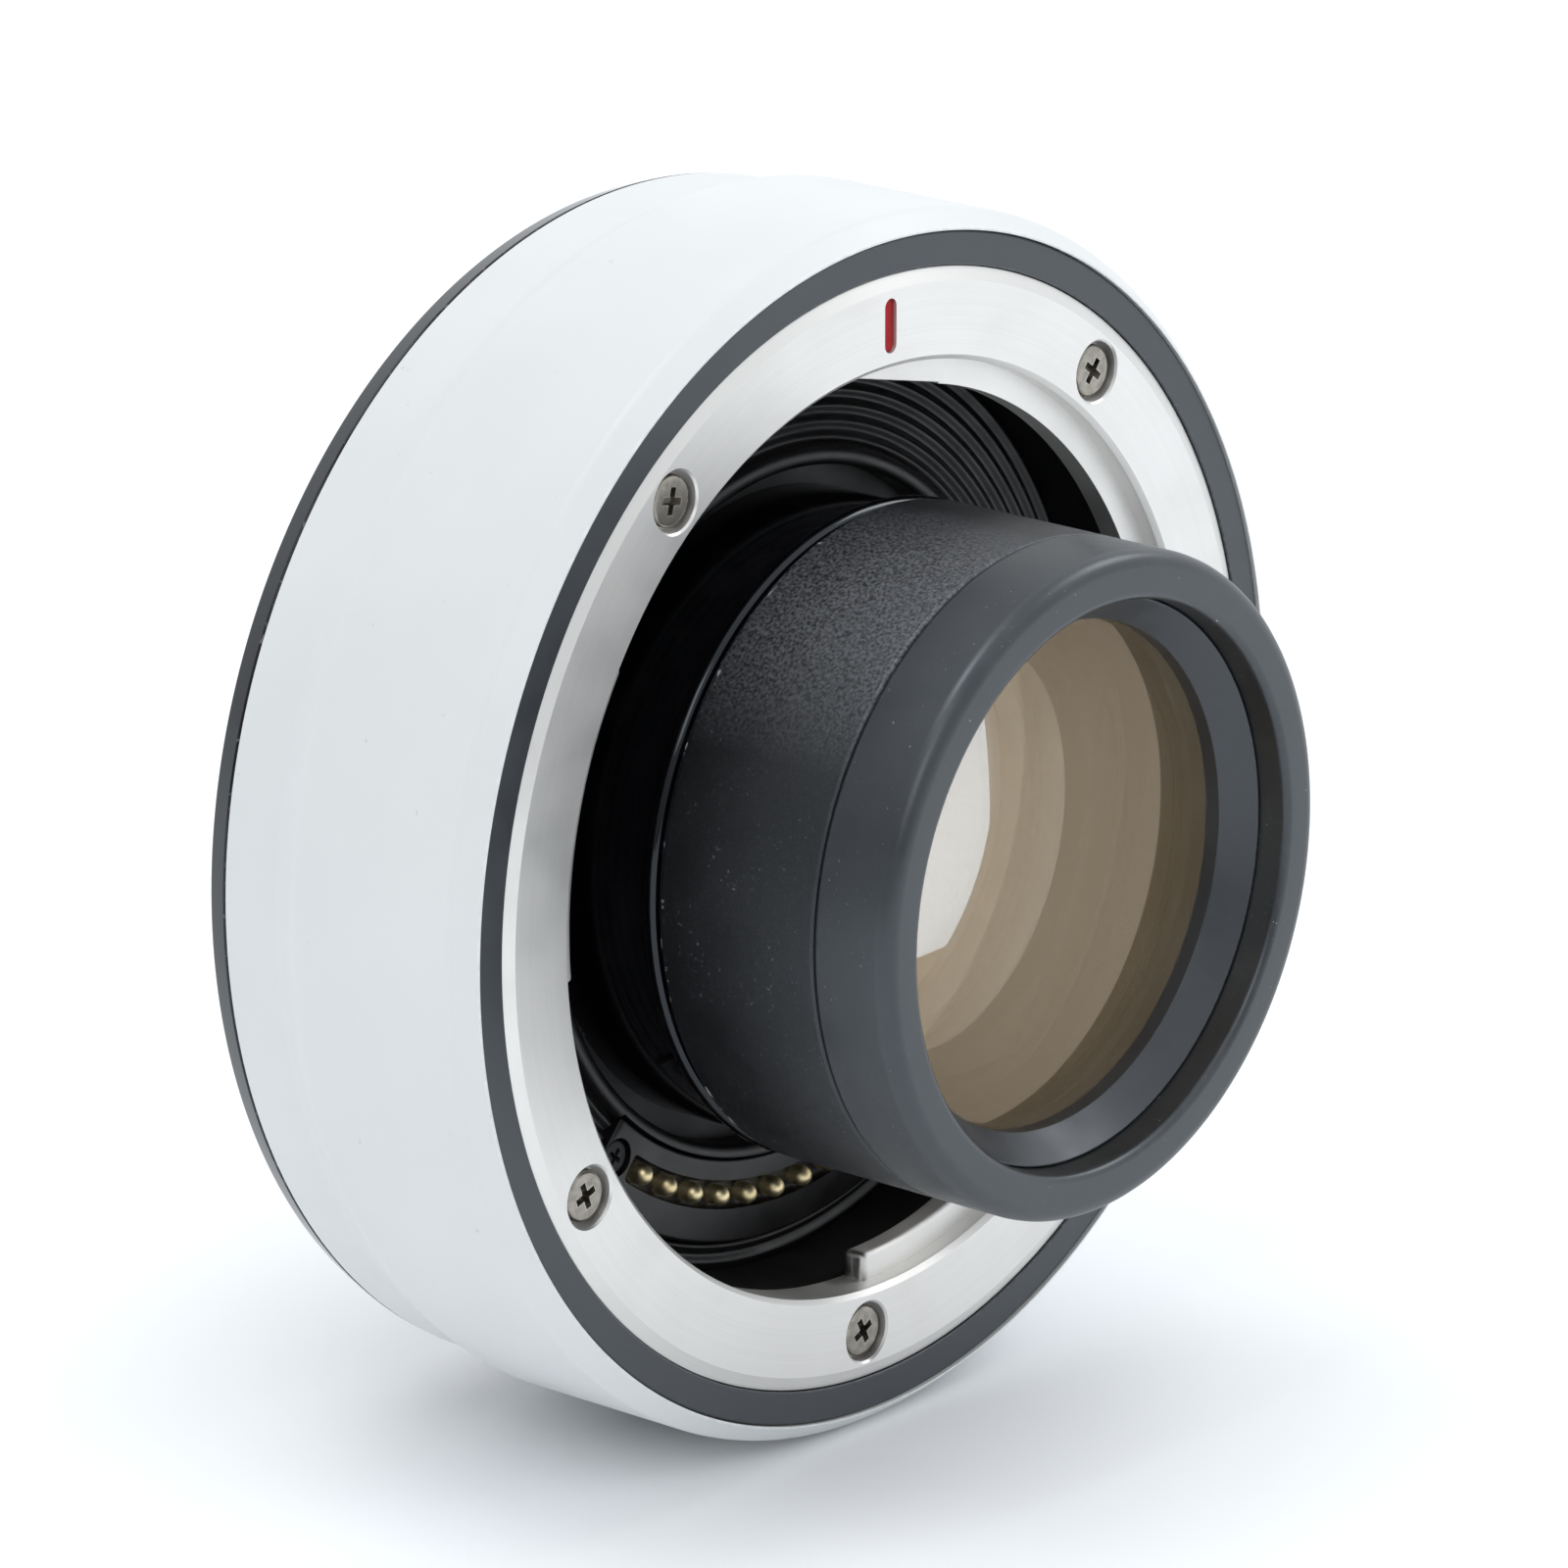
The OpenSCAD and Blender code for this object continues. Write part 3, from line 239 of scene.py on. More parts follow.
def soften(bm, width, steps=2, chosen=lambda edge: True):
    """Rounds the sharp edges of a mesh, or the chosen ones among them."""
    bm.normal_update()
    sharp = [e for e in bm.edges
             if len(e.link_faces) == 2 and e.calc_face_angle(0) > SHARP_ANGLE and chosen(e)]
    bmesh.ops.bevel(bm, geom=sharp, offset=width, segments=steps, profile=0.5, affect="EDGES",
                    clamp_overlap=True)
    return bm


def rise(edge):
    """How far an edge climbs along the axis."""
    return abs(edge.verts[0].co.z - edge.verts[1].co.z)


def is_radial(edge):
    """True for an edge that points away from the axis."""
    one, two = (Vector((v.co.x, v.co.y)) for v in edge.verts)
    return rise(edge) < 1e-4 and abs(one.cross(two)) < 1e-3 * one.length * two.length


def as_object(bm):
    mesh = bpy.data.meshes.new("tool")
    bm.to_mesh(mesh)
    bm.free()
    obj = bpy.data.objects.new("tool", mesh)
    bpy.context.scene.collection.objects.link(obj)
    return obj


def combined(target, tools, operation="DIFFERENCE"):
    """The target mesh with the tool meshes cut out of it, or joined to it."""
    base = as_object(target)
    tool = as_object(merged(tools))
    change = base.modifiers.new("change", "BOOLEAN")
    change.operation = operation
    change.solver = "EXACT"
    change.object = tool
    graph = bpy.context.evaluated_depsgraph_get()
    result = bpy.data.meshes.new_from_object(base.evaluated_get(graph))
    bm = bmesh.new()
    bm.from_mesh(result)
    old = [base.data, tool.data, result]
    for obj in (base, tool):
        bpy.data.objects.remove(obj)
    for mesh in old:
        bpy.data.meshes.remove(mesh)
    return bm


def piece(node, bm, look, body="body", also=()):
    """Turns a mesh into a piece that rides on a body and stands for its node."""
    bm.transform(TO_FRAME)
    mesh = bpy.data.meshes.new(node + "_visual")
    bm.to_mesh(mesh)
    bm.free()
    mesh.shade_smooth()
    mesh.set_sharp_from_angle(angle=SHARP_ANGLE)
    mesh.materials.append(LOOKS[look])
    obj = bpy.data.objects.new(node + "_visual", mesh)
    bpy.context.scene.collection.objects.link(obj)
    normals = obj.modifiers.new("normals", "WEIGHTED_NORMAL")
    normals.keep_sharp = True
    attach(obj, body)
    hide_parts(node, *also)
    return obj


# Material helpers

class Look:
    """A Principled material whose detail is worked out in the piece's own coordinates, in metres."""

    def __init__(self, name, colour, roughness, **sockets):
        self.material = bpy.data.materials.new(name)
        self.material.use_nodes = True
        self.nodes = self.material.node_tree.nodes
        self.shader = self.nodes["Principled BSDF"]
        self.shader.inputs["Base Color"].default_value = (*colour, 1)
        self.shader.inputs["Roughness"].default_value = roughness
        for socket, value in sockets.items():
            self.shader.inputs[socket.replace("_", " ")].default_value = value
        self.place = self.node("ShaderNodeTexCoord").outputs["Object"]

    def link(self, output, socket):
        self.material.node_tree.links.new(output, socket)

    def node(self, kind, inputs=None, **settings):
        made = self.nodes.new(kind)
        for name, value in settings.items():
            setattr(made, name, value)
        for name, value in (inputs or {}).items():
            if isinstance(value, bpy.types.NodeSocket):
                self.link(value, made.inputs[name])
            else:
                made.inputs[name].default_value = value
        return made

    def noise(self, size, detail=2.0, place=None):
        """Noise from 0 to 1, with grains of about this size in millimetres."""
        return self.node("ShaderNodeTexNoise", {
            "Vector": place or self.place, "Scale": 1 / (size * MM), "Detail": detail}).outputs["Fac"]

    def rings(self, pitch):
        """Turning marks: noise that changes along the radius and the axis only."""
        xyz = self.node("ShaderNodeSeparateXYZ", {"Vector": self.place}).outputs
        flat = self.node("ShaderNodeCombineXYZ", {"X": xyz["X"], "Y": xyz["Z"]}).outputs["Vector"]
        radius = self.node("ShaderNodeVectorMath", {0: flat}, operation="LENGTH").outputs["Value"]
        line = self.node("ShaderNodeCombineXYZ", {"X": radius, "Y": xyz["Y"]}).outputs["Vector"]
        return self.noise(pitch, 4.0, line)

    def level(self, source, low, high, to_low=0.0, to_high=1.0):
        """Maps a range of a value to another range, clamped."""
        return self.node("ShaderNodeMapRange", {
            "Value": source, "From Min": low, "From Max": high, "To Min": to_low, "To Max": to_high,
        }).outputs["Result"]

    def times(self, one, two):
        return self.node("ShaderNodeMath", {0: one, 1: two}, operation="MULTIPLY").outputs["Value"]

    def edges(self, reach):
        """1 on the edges and 0 away from them, over a reach in millimetres."""
        soft = self.node("ShaderNodeBevel", {"Radius": reach * MM}, samples=4).outputs["Normal"]
        true = self.node("ShaderNodeNewGeometry").outputs["Normal"]
        same = self.node("ShaderNodeVectorMath", {0: soft, 1: true}, operation="DOT_PRODUCT").outputs["Value"]
        return self.level(same, 0.995, 0.9)

    def tint(self, mask, colour):
        """Paints a colour over the base colour where the mask is 1."""
        base = self.shader.inputs["Base Color"]
        under = base.links[0].from_socket if base.links else tuple(base.default_value)
        mix = self.node("ShaderNodeMix", {"Factor": mask}, data_type="RGBA")
        slots = [s for s in mix.inputs if s.type == "RGBA"]
        if isinstance(under, tuple):
            slots[0].default_value = under
        else:
            self.link(under, slots[0])
        slots[1].default_value = (*colour, 1)
        self.link([s for s in mix.outputs if s.type == "RGBA"][0], base)

    def wear(self, reach, size, detail, low, high, colour):
        """Paints a colour in patches of about this size along the edges, over a reach in millimetres."""
        patches = self.level(self.noise(size, detail), low, high)
        self.tint(self.times(self.edges(reach), patches), colour)

    def polish(self, source, low, high):
        """Roughness from low to high as the source goes from 0.3 to 0.7."""
        self.link(self.level(source, 0.3, 0.7, low, high), self.shader.inputs["Roughness"])

    def bump(self, source, height):
        """Relief of a height in micrometres, on top of any relief before it."""
        normal = self.shader.inputs["Normal"]
        made = self.node("ShaderNodeBump", {"Height": source, "Distance": height * 1e-6})
        if normal.links:
            self.link(normal.links[0].from_socket, made.inputs["Normal"])
        self.link(made.outputs["Normal"], normal)


# Materials, one for each slot of the record

# The tint of the reflections on the dark finishes
COOL = (0.86, 0.93, 1.0, 1.0)


def white_paint():
    look = Look("white_paint", (0.735, 0.75, 0.75), 0.4, Specular_IOR_Level=0.45)
    cloud = look.noise(14, 3)
    grain = look.noise(0.25)
    look.tint(look.level(cloud, 0.35, 0.7), (0.70, 0.717, 0.718))
    look.tint(look.times(look.level(look.noise(0.9, 4), 0.73, 0.78), 0.5), (0.5, 0.5, 0.48))
    look.wear(reach=0.25, size=0.6, detail=3, low=0.45, high=0.65, colour=(0.86, 0.87, 0.865))
    look.polish(cloud, 0.34, 0.46)
    look.bump(grain, 2.0)
    return look


def gloss_black():
    look = Look("gloss_black", (0.002, 0.002, 0.003), 0.1, Specular_Tint=COOL)
    smear = look.noise(2.5, 4)
    look.tint(look.level(smear, 0.5, 0.8), (0.007, 0.007, 0.008))
    look.wear(reach=0.18, size=0.5, detail=4, low=0.58, high=0.68, colour=(0.3, 0.3, 0.3))
    look.polish(smear, 0.05, 0.13)
    look.bump(look.noise(0.8), 1.5)
    return look


def dark_grey():
    look = Look("dark_grey", (0.013, 0.0145, 0.017), 0.38, Specular_IOR_Level=0.9, Specular_Tint=COOL)
    cloud = look.noise(3, 4)
    look.tint(look.level(cloud, 0.3, 0.7), (0.020, 0.022, 0.026))
    look.wear(reach=0.2, size=0.4, detail=3, low=0.5, high=0.7, colour=(0.14, 0.14, 0.145))
    look.polish(cloud, 0.32, 0.44)
    look.bump(look.noise(0.12), 3.0)
    return look


def seal_rubber():
    look = Look("seal_rubber", (0.016, 0.016, 0.017), 0.62)
    cloud = look.noise(2, 4)
    look.tint(look.level(cloud, 0.4, 0.75), (0.03, 0.03, 0.031))
    look.polish(cloud, 0.55, 0.72)
    look.bump(look.noise(0.15, 4), 4.0)
    return look


def black_alloy():
    look = Look("black_alloy", (0.004, 0.004, 0.005), 0.5)
    cloud = look.noise(4, 4)
    look.tint(look.level(cloud, 0.4, 0.75), (0.008, 0.008, 0.009))
    look.wear(reach=0.15, size=0.5, detail=3, low=0.5, high=0.7, colour=(0.07, 0.07, 0.07))
    look.polish(cloud, 0.48, 0.62)
    look.bump(look.rings(0.18), 4.0)
    return look


def mount_steel():
    """Lathe-cut steel, with turning marks, smears and a sheen that follows the cut round."""
    look = Look("mount_steel", (0.785, 0.775, 0.757), 0.34, Metallic=1.0, Anisotropic=0.7,
                Anisotropic_Rotation=0.25)
    marks = look.rings(0.09)
    smear = look.noise(5, 4)
    look.tint(look.times(look.level(marks, 0.45, 0.75), 0.25), (0.66, 0.65, 0.63))
    look.tint(look.times(look.level(smear, 0.5, 0.75), 0.35), (0.74, 0.72, 0.69))
    look.polish(smear, 0.36, 0.46)
    look.bump(marks, 1.0)
    around = look.node("ShaderNodeTangent", direction_type="RADIAL", axis="Y").outputs["Tangent"]
    look.link(around, look.shader.inputs["Tangent"])
    return look


def screw_steel():
    look = Look("screw_steel", (0.36, 0.335, 0.295), 0.3, Metallic=1.0)
    smear = look.noise(0.5, 4)
    look.tint(look.level(smear, 0.4, 0.75), (0.25, 0.23, 0.2))
    look.tint(look.edges(0.1), (0.72, 0.7, 0.66))
    look.polish(smear, 0.24, 0.42)
    look.bump(look.noise(0.12, 3), 3.0)
    return look


def spring_steel():
    look = Look("spring_steel", (0.62, 0.61, 0.59), 0.25, Metallic=1.0)
    smear = look.noise(1.2, 4)
    look.tint(look.level(smear, 0.45, 0.75), (0.45, 0.44, 0.42))
    look.polish(smear, 0.18, 0.36)
    look.bump(look.noise(0.1, 2), 1.0)
    return look


def red_fill():
    look = Look("red_fill", (0.42, 0.004, 0.010), 0.4, Specular_IOR_Level=0.2)
    cloud = look.noise(0.5, 3)
    look.tint(look.level(cloud, 0.4, 0.75), (0.33, 0.004, 0.010))
    look.polish(cloud, 0.34, 0.46)
    look.bump(look.noise(0.25, 2), 4.0)
    return look


def black_moulding():
    look = Look("black_moulding", (0.004, 0.004, 0.005), 0.4, Specular_IOR_Level=0.6)
    cloud = look.noise(2.5, 4)
    look.tint(look.level(cloud, 0.4, 0.75), (0.008, 0.008, 0.009))
    look.wear(reach=0.12, size=0.4, detail=3, low=0.55, high=0.75, colour=(0.018, 0.018, 0.02))
    look.polish(cloud, 0.36, 0.48)
    look.bump(look.noise(0.1, 2), 2.0)
    return look


def barrel_paint():
    look = Look("barrel_paint", (0.004, 0.004, 0.005), 0.44, Specular_IOR_Level=0.8, Specular_Tint=COOL)
    fine = look.noise(0.16, 3)
    cloud = look.noise(3.5, 4)
    look.tint(look.level(fine, 0.52, 0.7), (0.014, 0.014, 0.015))
    specks = look.level(look.noise(0.28, 2), 0.66, 0.72)
    look.tint(look.times(specks, look.level(cloud, 0.4, 0.7)), (0.11, 0.11, 0.115))

    # A painted highlight on the upper left: a pale grain that stands in for a streak of light on that side of
    # the barrel
    painted_highlight_side = (-0.47, 0, 0.88)
    painted_highlight_from = 0.84 * BARREL_R
    side = look.node("ShaderNodeVectorMath", {0: look.place, 1: painted_highlight_side}, operation="DOT_PRODUCT")
    pale = look.level(side.outputs["Value"], painted_highlight_from * MM, BARREL_R * MM)
    grain = look.level(look.noise(0.2, 3), 0.35, 0.65)
    # Paints the highlight: pale grain where the barrel faces up and to the left
    look.tint(look.times(pale, grain), (0.12, 0.123, 0.132))

    # Chipped paint at the foot
    foot_low = BASE_TOP + 0.6
    foot_top = BASE_TOP + 0.75
    along = look.node("ShaderNodeSeparateXYZ", {"Vector": look.place}).outputs["Y"]
    foot = look.level(along, -foot_top * MM, -foot_low * MM)
    chips = look.level(look.noise(1.1, 4), 0.6, 0.64)
    look.tint(look.times(foot, chips), (0.5, 0.5, 0.5))

    look.polish(cloud, 0.42, 0.5)
    look.bump(fine, 10.0)
    return look


def tip_rubber():
    look = Look("tip_rubber", (0.012, 0.014, 0.017), 0.36, Specular_IOR_Level=0.9, Specular_Tint=COOL)
    cloud = look.noise(4, 4)
    dust = look.level(look.noise(0.22, 2), 0.7, 0.74)
    look.tint(look.level(cloud, 0.35, 0.7), (0.021, 0.0235, 0.027))
    look.tint(look.times(dust, look.level(look.noise(2.2, 3), 0.5, 0.7)), (0.4, 0.4, 0.39))
    look.wear(reach=0.5, size=0.5, detail=4, low=0.5, high=0.7, colour=(0.06, 0.062, 0.065))
    look.polish(cloud, 0.3, 0.4)
    look.bump(look.noise(0.14, 3), 4.0)
    return look


def ring_paint():
    look = Look("ring_paint", (0.016, 0.017, 0.020), 0.38, Specular_IOR_Level=0.9, Specular_Tint=COOL)
    cloud = look.noise(2.5, 4)
    look.tint(look.level(cloud, 0.4, 0.75), (0.027, 0.028, 0.031))
    look.wear(reach=0.12, size=0.4, detail=3, low=0.45, high=0.65, colour=(0.11, 0.11, 0.115))
    look.polish(cloud, 0.34, 0.46)
    look.bump(look.noise(0.12, 2), 3.0)
    return look


def lens_glass():
    look = Look("lens_glass", (0.995, 0.985, 0.97), 0.0, Transmission_Weight=1.0, IOR=1.88,
                Specular_Tint=(0.8, 0.56, 0.32, 1.0), Sheen_Weight=0.36, Sheen_Roughness=0.7,
                Sheen_Tint=(1.0, 0.75, 0.45, 1.0))
    haze = look.noise(6, 4)
    look.tint(look.level(haze, 0.4, 0.8), (0.985, 0.97, 0.95))
    look.polish(haze, 0.0, 0.012)
    return look


def gold():
    look = Look("gold", (1.0, 0.86, 0.53), 0.42, Metallic=1.0)
    smear = look.noise(0.4, 4)
    look.tint(look.level(smear, 0.45, 0.8), (0.96, 0.76, 0.42))
    look.polish(smear, 0.36, 0.5)
    look.bump(look.noise(0.1, 2), 1.5)
    return look


def circuit_board():
    look = Look("circuit_board", (0.010, 0.055, 0.022), 0.4)
    tracks = look.noise(1.2, 1)
    look.tint(look.level(tracks, 0.52, 0.54), (0.018, 0.085, 0.035))
    look.polish(tracks, 0.32, 0.48)
    look.bump(tracks, 12.0)
    return look


def flex_film():
    look = Look("flex_film", (0.36, 0.13, 0.018), 0.35)
    cloud = look.noise(1.0, 3)
    look.tint(look.level(cloud, 0.4, 0.7), (0.28, 0.09, 0.012))
    look.polish(cloud, 0.28, 0.42)
    look.bump(cloud, 4.0)
    return look


def chip_black():
    look = Look("chip_black", (0.014, 0.014, 0.015), 0.55)
    grain = look.noise(0.15, 3)
    look.tint(look.level(grain, 0.45, 0.75), (0.026, 0.026, 0.027))
    look.polish(grain, 0.48, 0.64)
    look.bump(grain, 4.0)
    return look


def lever_black():
    look = Look("lever_black", (0.014, 0.014, 0.016), 0.4)
    cloud = look.noise(1.5, 4)
    look.tint(look.level(cloud, 0.4, 0.75), (0.022, 0.022, 0.024))
    look.wear(reach=0.2, size=0.35, detail=4, low=0.5, high=0.68, colour=(0.09, 0.09, 0.092))
    look.polish(cloud, 0.34, 0.5)
    look.bump(look.noise(0.11, 2), 3.0)
    return look


def shim_brass():
    look = Look("shim_brass", (0.56, 0.40, 0.16), 0.3, Metallic=1.0)
    smear = look.noise(1.5, 4)
    look.tint(look.level(smear, 0.45, 0.75), (0.42, 0.29, 0.11))
    look.polish(smear, 0.24, 0.42)
    look.bump(look.noise(0.15, 2), 2.0)
    return look


LOOKS = {make.__name__: make().material for make in (
    white_paint, gloss_black, dark_grey, seal_rubber, black_alloy, mount_steel, screw_steel, spring_steel,
    red_fill, black_moulding, barrel_paint, tip_rubber, ring_paint, lens_glass, gold, circuit_board,
    flex_film, chip_black, lever_black, shim_brass)}


# Shell and its rings

def outer_shell():
    bore_r = BODY_R - 1.9
    band_end = 5.8
    slope_end = band_end + 1.7
    bevel = 1.3
    mouth_r = TRIM_R + 0.05
    lip = 0.1
    window_low = LEVER_LOW + 1.3
    window_top = window_low + 5.4
    window_start = LOCK_ANGLE + 4.4
    window_end = LOCK_ANGLE + 21.6
    skin = lathe(rounded([
        (bore_r, SHELL_LOW), (BAND_R, SHELL_LOW, 0.2), (BAND_R, band_end, 2.5), (BODY_R, slope_end, 2.5),
        (BODY_R, SHELL_TOP - bevel, 0.9), (mouth_r + lip, SHELL_TOP, 0.08), (mouth_r, SHELL_TOP),
        (mouth_r, TRIM_LOW), (bore_r, TRIM_LOW)]))
    window = sector(bore_r - OVER, BODY_R + OVER, window_low, window_top, window_start, window_end)
    soften(window, width=0.7, steps=4, chosen=is_radial)
    piece("outer_shell", combined(skin, [window]), "white_paint")


def rear_trim_ring():
    low, top = ends("rear_trim_ring")[1:]
    bore_r = MOUNT_R + 0.95
    inner_r = BODY_R - 1.95
    slope_w = 0.5
    piece("rear_trim_ring", lathe(rounded([
        (bore_r, low), (BAND_R - slope_w, low, 0.3), (BAND_R, SHELL_LOW, 0.12), (inner_r, SHELL_LOW),
        (inner_r, top), (bore_r, top)])), "gloss_black")


def rear_seal_ring():
    out_r, low, top = ends("rear_seal_ring")
    in_r = MOUNT_R + 0.05
    lip = 0.34
    piece("rear_seal_ring", lathe(rounded([
        (in_r, top), (in_r, 0), (out_r - lip, low, 0.1), (out_r, low, 0.12), (out_r, top)])), "seal_rubber")


def front_trim_ring():
    in_r = MOUNT_R + 0.05
    piece("front_trim_ring", lathe(rounded([
        (in_r, TRIM_LOW), (TRIM_R, TRIM_LOW), (TRIM_R, TRIM_TOP, 0.15), (in_r, TRIM_TOP, 0.1)])), "dark_grey")


# Front mount

def lug_plates(r_in, r_out, z0, z1, gap, edge):
    """A plate for each front lug, with rounded edges and ends held back by a gap in degrees.

    A flat lets the end of the first one run out into the throat.
    """
    plates = [sector(r_in, r_out, z0, z1, start + gap, end - gap) for start, end in LUG_SPANS]
    depth = 5.0
    bite = 0.1
    flat = spot(RUN_OUT_ANGLE, r_in + bite - depth / 2, (z0 + z1) / 2)
    flat @= Matrix.Translation((0, RUN_OUT_LENGTH / 2, 0))
    plates[0] = combined(plates[0], [block((depth, RUN_OUT_LENGTH, z1 - z0 + 2 * OVER), flat)])
    return [soften(plate, width=edge, steps=3) for plate in plates]


def front_mount_ring():
    edge_low = FACE - 0.3
    slope_w = 0.8
    bevel = 0.3
    lug_root = THROAT_R + 0.3
    lug_top = FACE - 1.3
    recess_low = FACE - 1.2
    groove_low = FACE - 0.5
    ring = lathe(rounded([
        (THROAT_R, MOUNT_LOW), (MOUNT_R, MOUNT_LOW), (MOUNT_R, edge_low, 0.06),
        (MOUNT_R - slope_w, FACE, 0.1), (THROAT_R + bevel, FACE, 0.06), (THROAT_R, edge_low, 0.06)]))
    lugs = lug_plates(LUG_R, lug_root, MOUNT_LOW, lug_top, gap=0, edge=0.35)
    cuts = [flared_hole(r=1.77, flare=0.17, bottom=recess_low, mouth=FACE, place=spot(a, SCREW_CIRCLE_R))
            for a in SCREW_ANGLES]
    cuts.append(flared_hole(r=1.35, flare=0.2, bottom=MOUNT_LOW - OVER, mouth=FACE,
                            place=spot(LOCK_ANGLE, SCREW_CIRCLE_R)))
    cuts.append(capsule(INDEX_LENGTH, INDEX_WIDTH, groove_low, FACE + OVER, spot(INDEX_ANGLE, INDEX_R)))
    piece("front_mount_ring", combined(combined(ring, lugs, "UNION"), cuts), "mount_steel")


def screw(head_r, head_t, shank_r, z_head, z_end, place):
    """A screw with a rounded head and a tapered cross recess, its head up."""
    low = z_head - head_t
    edge = head_r * 0.16
    arm_size = (head_r * 1.3, head_r * 0.36, head_t * 1.4)
    arm_taper = 0.62
    turned = small_lathe(rounded([
        (0, z_head), (head_r, z_head, edge), (head_r, low), (shank_r, low), (shank_r, z_end), (0, z_end),
    ]), Matrix())
    arms = []
    for turn in (0, 90):
        arm = block(arm_size, spot(turn, 0, z_head))
        for v in arm.verts:
            if v.co.z < z_head:
                v.co.x *= arm_taper
                v.co.y *= arm_taper
        arms.append(arm)
    cross = combined(arms[0], arms[1:], "UNION")
    whole = combined(turned, [cross])
    whole.transform(place)
    return whole


def front_mount_screws():
    low = ends("front_mount_screws")[1]
    head = FACE - 0.3
    piece("front_mount_screws", merged([
        screw(head_r=1.5, head_t=0.9, shank_r=0.85, z_head=head, z_end=low,
              place=spot(a, SCREW_CIRCLE_R, turn=SCREW_TURN * i))
        for i, a in enumerate(SCREW_ANGLES)]), "screw_steel")


def index_mark():
    low, top = ends("index_mark")[1:]
    gap = 0.04
    mark = capsule(INDEX_LENGTH - gap, INDEX_WIDTH - gap, low, top, spot(INDEX_ANGLE, INDEX_R))
    piece("index_mark", soften(mark, width=0.12, steps=3), "red_fill")


def mount_leaf_springs():
    low, top = ends("mount_leaf_springs")[1:]
    tip_r = LUG_R + 0.4
    root_r = THROAT_R + 1.1
    leaves = lug_plates(tip_r, root_r, low, top, gap=2, edge=0.06)
    piece("mount_leaf_springs", merged(leaves), "spring_steel")


def front_light_baffle():
    in_r = BARREL_R + 0.64
    lip_r = 0.55
    rib_count = 7
    rib_h = 0.3
    rib_steps = 10
    plate = BAFFLE_LOW + 1.0
    crest = plate + rib_h
    first = in_r + 2 * lip_r
    pitch = (BAFFLE_R - first) / rib_count
    outline = [(in_r, BAFFLE_LOW)] + arc((in_r + lip_r, crest), lip_r, 180, 0, steps=12)
    for k in range(rib_count * rib_steps + 1):
        wave = (1 - math.cos(2 * math.pi * k / rib_steps)) / 2
        outline.append((first + pitch * k / rib_steps, plate + rib_h * wave))
    outline.append((BAFFLE_R, BAFFLE_LOW))
    floor = lathe(outline)
    notch = contact_sector(r_in=20.45, r_out=25.65, z0=BAFFLE_LOW - OVER, z1=BAFFLE_TOP + OVER, half=44)
    piece("front_light_baffle", combined(floor, [notch]), "black_moulding")


# Front contacts

def front_contact_block():
    trough_half = 37.1
    trough_low = BLOCK_TOP - 0.6
    web_low = BLOCK_TOP - 3.9
    foot_top = web_low + 0.5
    seat_r = 1.15
    seat_low = BLOCK_TOP - 0.9
    bore_r = 0.63
    bore_top = trough_low + 0.3
    over = BLOCK_TOP + OVER
    base = contact_sector(r_in=20.6, r_out=25.5, z0=web_low, z1=BLOCK_TOP, half=43.5)
    soften(base, width=0.2, steps=3)
    foot = contact_sector(r_in=21.55, r_out=23.75, z0=BLOCK_LOW, z1=foot_top, half=trough_half)
    trough = contact_sector(r_in=21.8, r_out=23.5, z0=trough_low, z1=over, half=trough_half)
    soften(trough, width=0.3, steps=3, chosen=lambda edge: not is_radial(edge))
    seats = [cylinder(seat_r, seat_low, over, spot(a, PIN_CIRCLE_R)) for a in CONTACT_SCREW_ANGLES]
    holder = combined(combined(base, [foot], "UNION"), [trough, *seats])
    bores = [cylinder(bore_r, BLOCK_LOW - OVER, bore_top, spot(a, PIN_CIRCLE_R)) for a in PIN_ANGLES]
    piece("front_contact_block", combined(holder, bores), "black_moulding")


def contact_pins():
    collar_r = 0.85
    pin_r = 0.6
    collar_top = PIN_LOW + 0.85
    outline = [(0, PIN_LOW), (collar_r, PIN_LOW), (collar_r, collar_top), (pin_r, collar_top)]
    outline += arc((0, PIN_TIP - pin_r), pin_r, 0, 90, steps=12)[:-1] + [(0, PIN_TIP)]
    for i, a in enumerate(PIN_ANGLES, 1):
        piece(f"contact_pin_{i:02d}", small_lathe(outline, spot(a, PIN_CIRCLE_R)), "gold", f"pin_{i:02d}")


def front_contact_screws():
    low, top = ends("front_contact_screws")[1:]
    piece("front_contact_screws", merged([
        screw(head_r=1.0, head_t=0.7, shank_r=0.6, z_head=top, z_end=low, place=spot(a, PIN_CIRCLE_R))
        for a in CONTACT_SCREW_ANGLES]), "black_alloy")


# Barrel

def barrel_base_ring():
    bead_r = 0.55
    neck_r = BARREL_R - 0.7
    outline = [(CELL_R, NECK_LOW), (neck_r, NECK_LOW), (neck_r, BASE_TOP - 2 * bead_r)]
    outline += arc((BARREL_R - bead_r, BASE_TOP - bead_r), bead_r, -90, 90, steps=12)
    outline.append((CELL_R, BASE_TOP))
    piece("barrel_base_ring", lathe(outline), "gloss_black")


def barrel_cover():
    groove_r = BARREL_R - 0.5
    groove_top = BASE_TOP + 0.35
    piece("barrel_cover", lathe(rounded([
        (CELL_R, BASE_TOP), (groove_r, BASE_TOP), (groove_r, groove_top), (BARREL_R, groove_top, 0.25),
        (BARREL_R, SEAM, 0.25), (CELL_R, SEAM)])), "barrel_paint")


def tip_ring():
    mouth_r = BARREL_R - 2.8
    piece("tip_ring", lathe(rounded([
        (CELL_R, SEAM), (BARREL_R, SEAM, 0.3), (BARREL_R, TIP, 1.0), (mouth_r, TIP, 0.5),
        (mouth_r, CONE_STEP), (CELL_R, CONE_STEP)])), "tip_rubber")


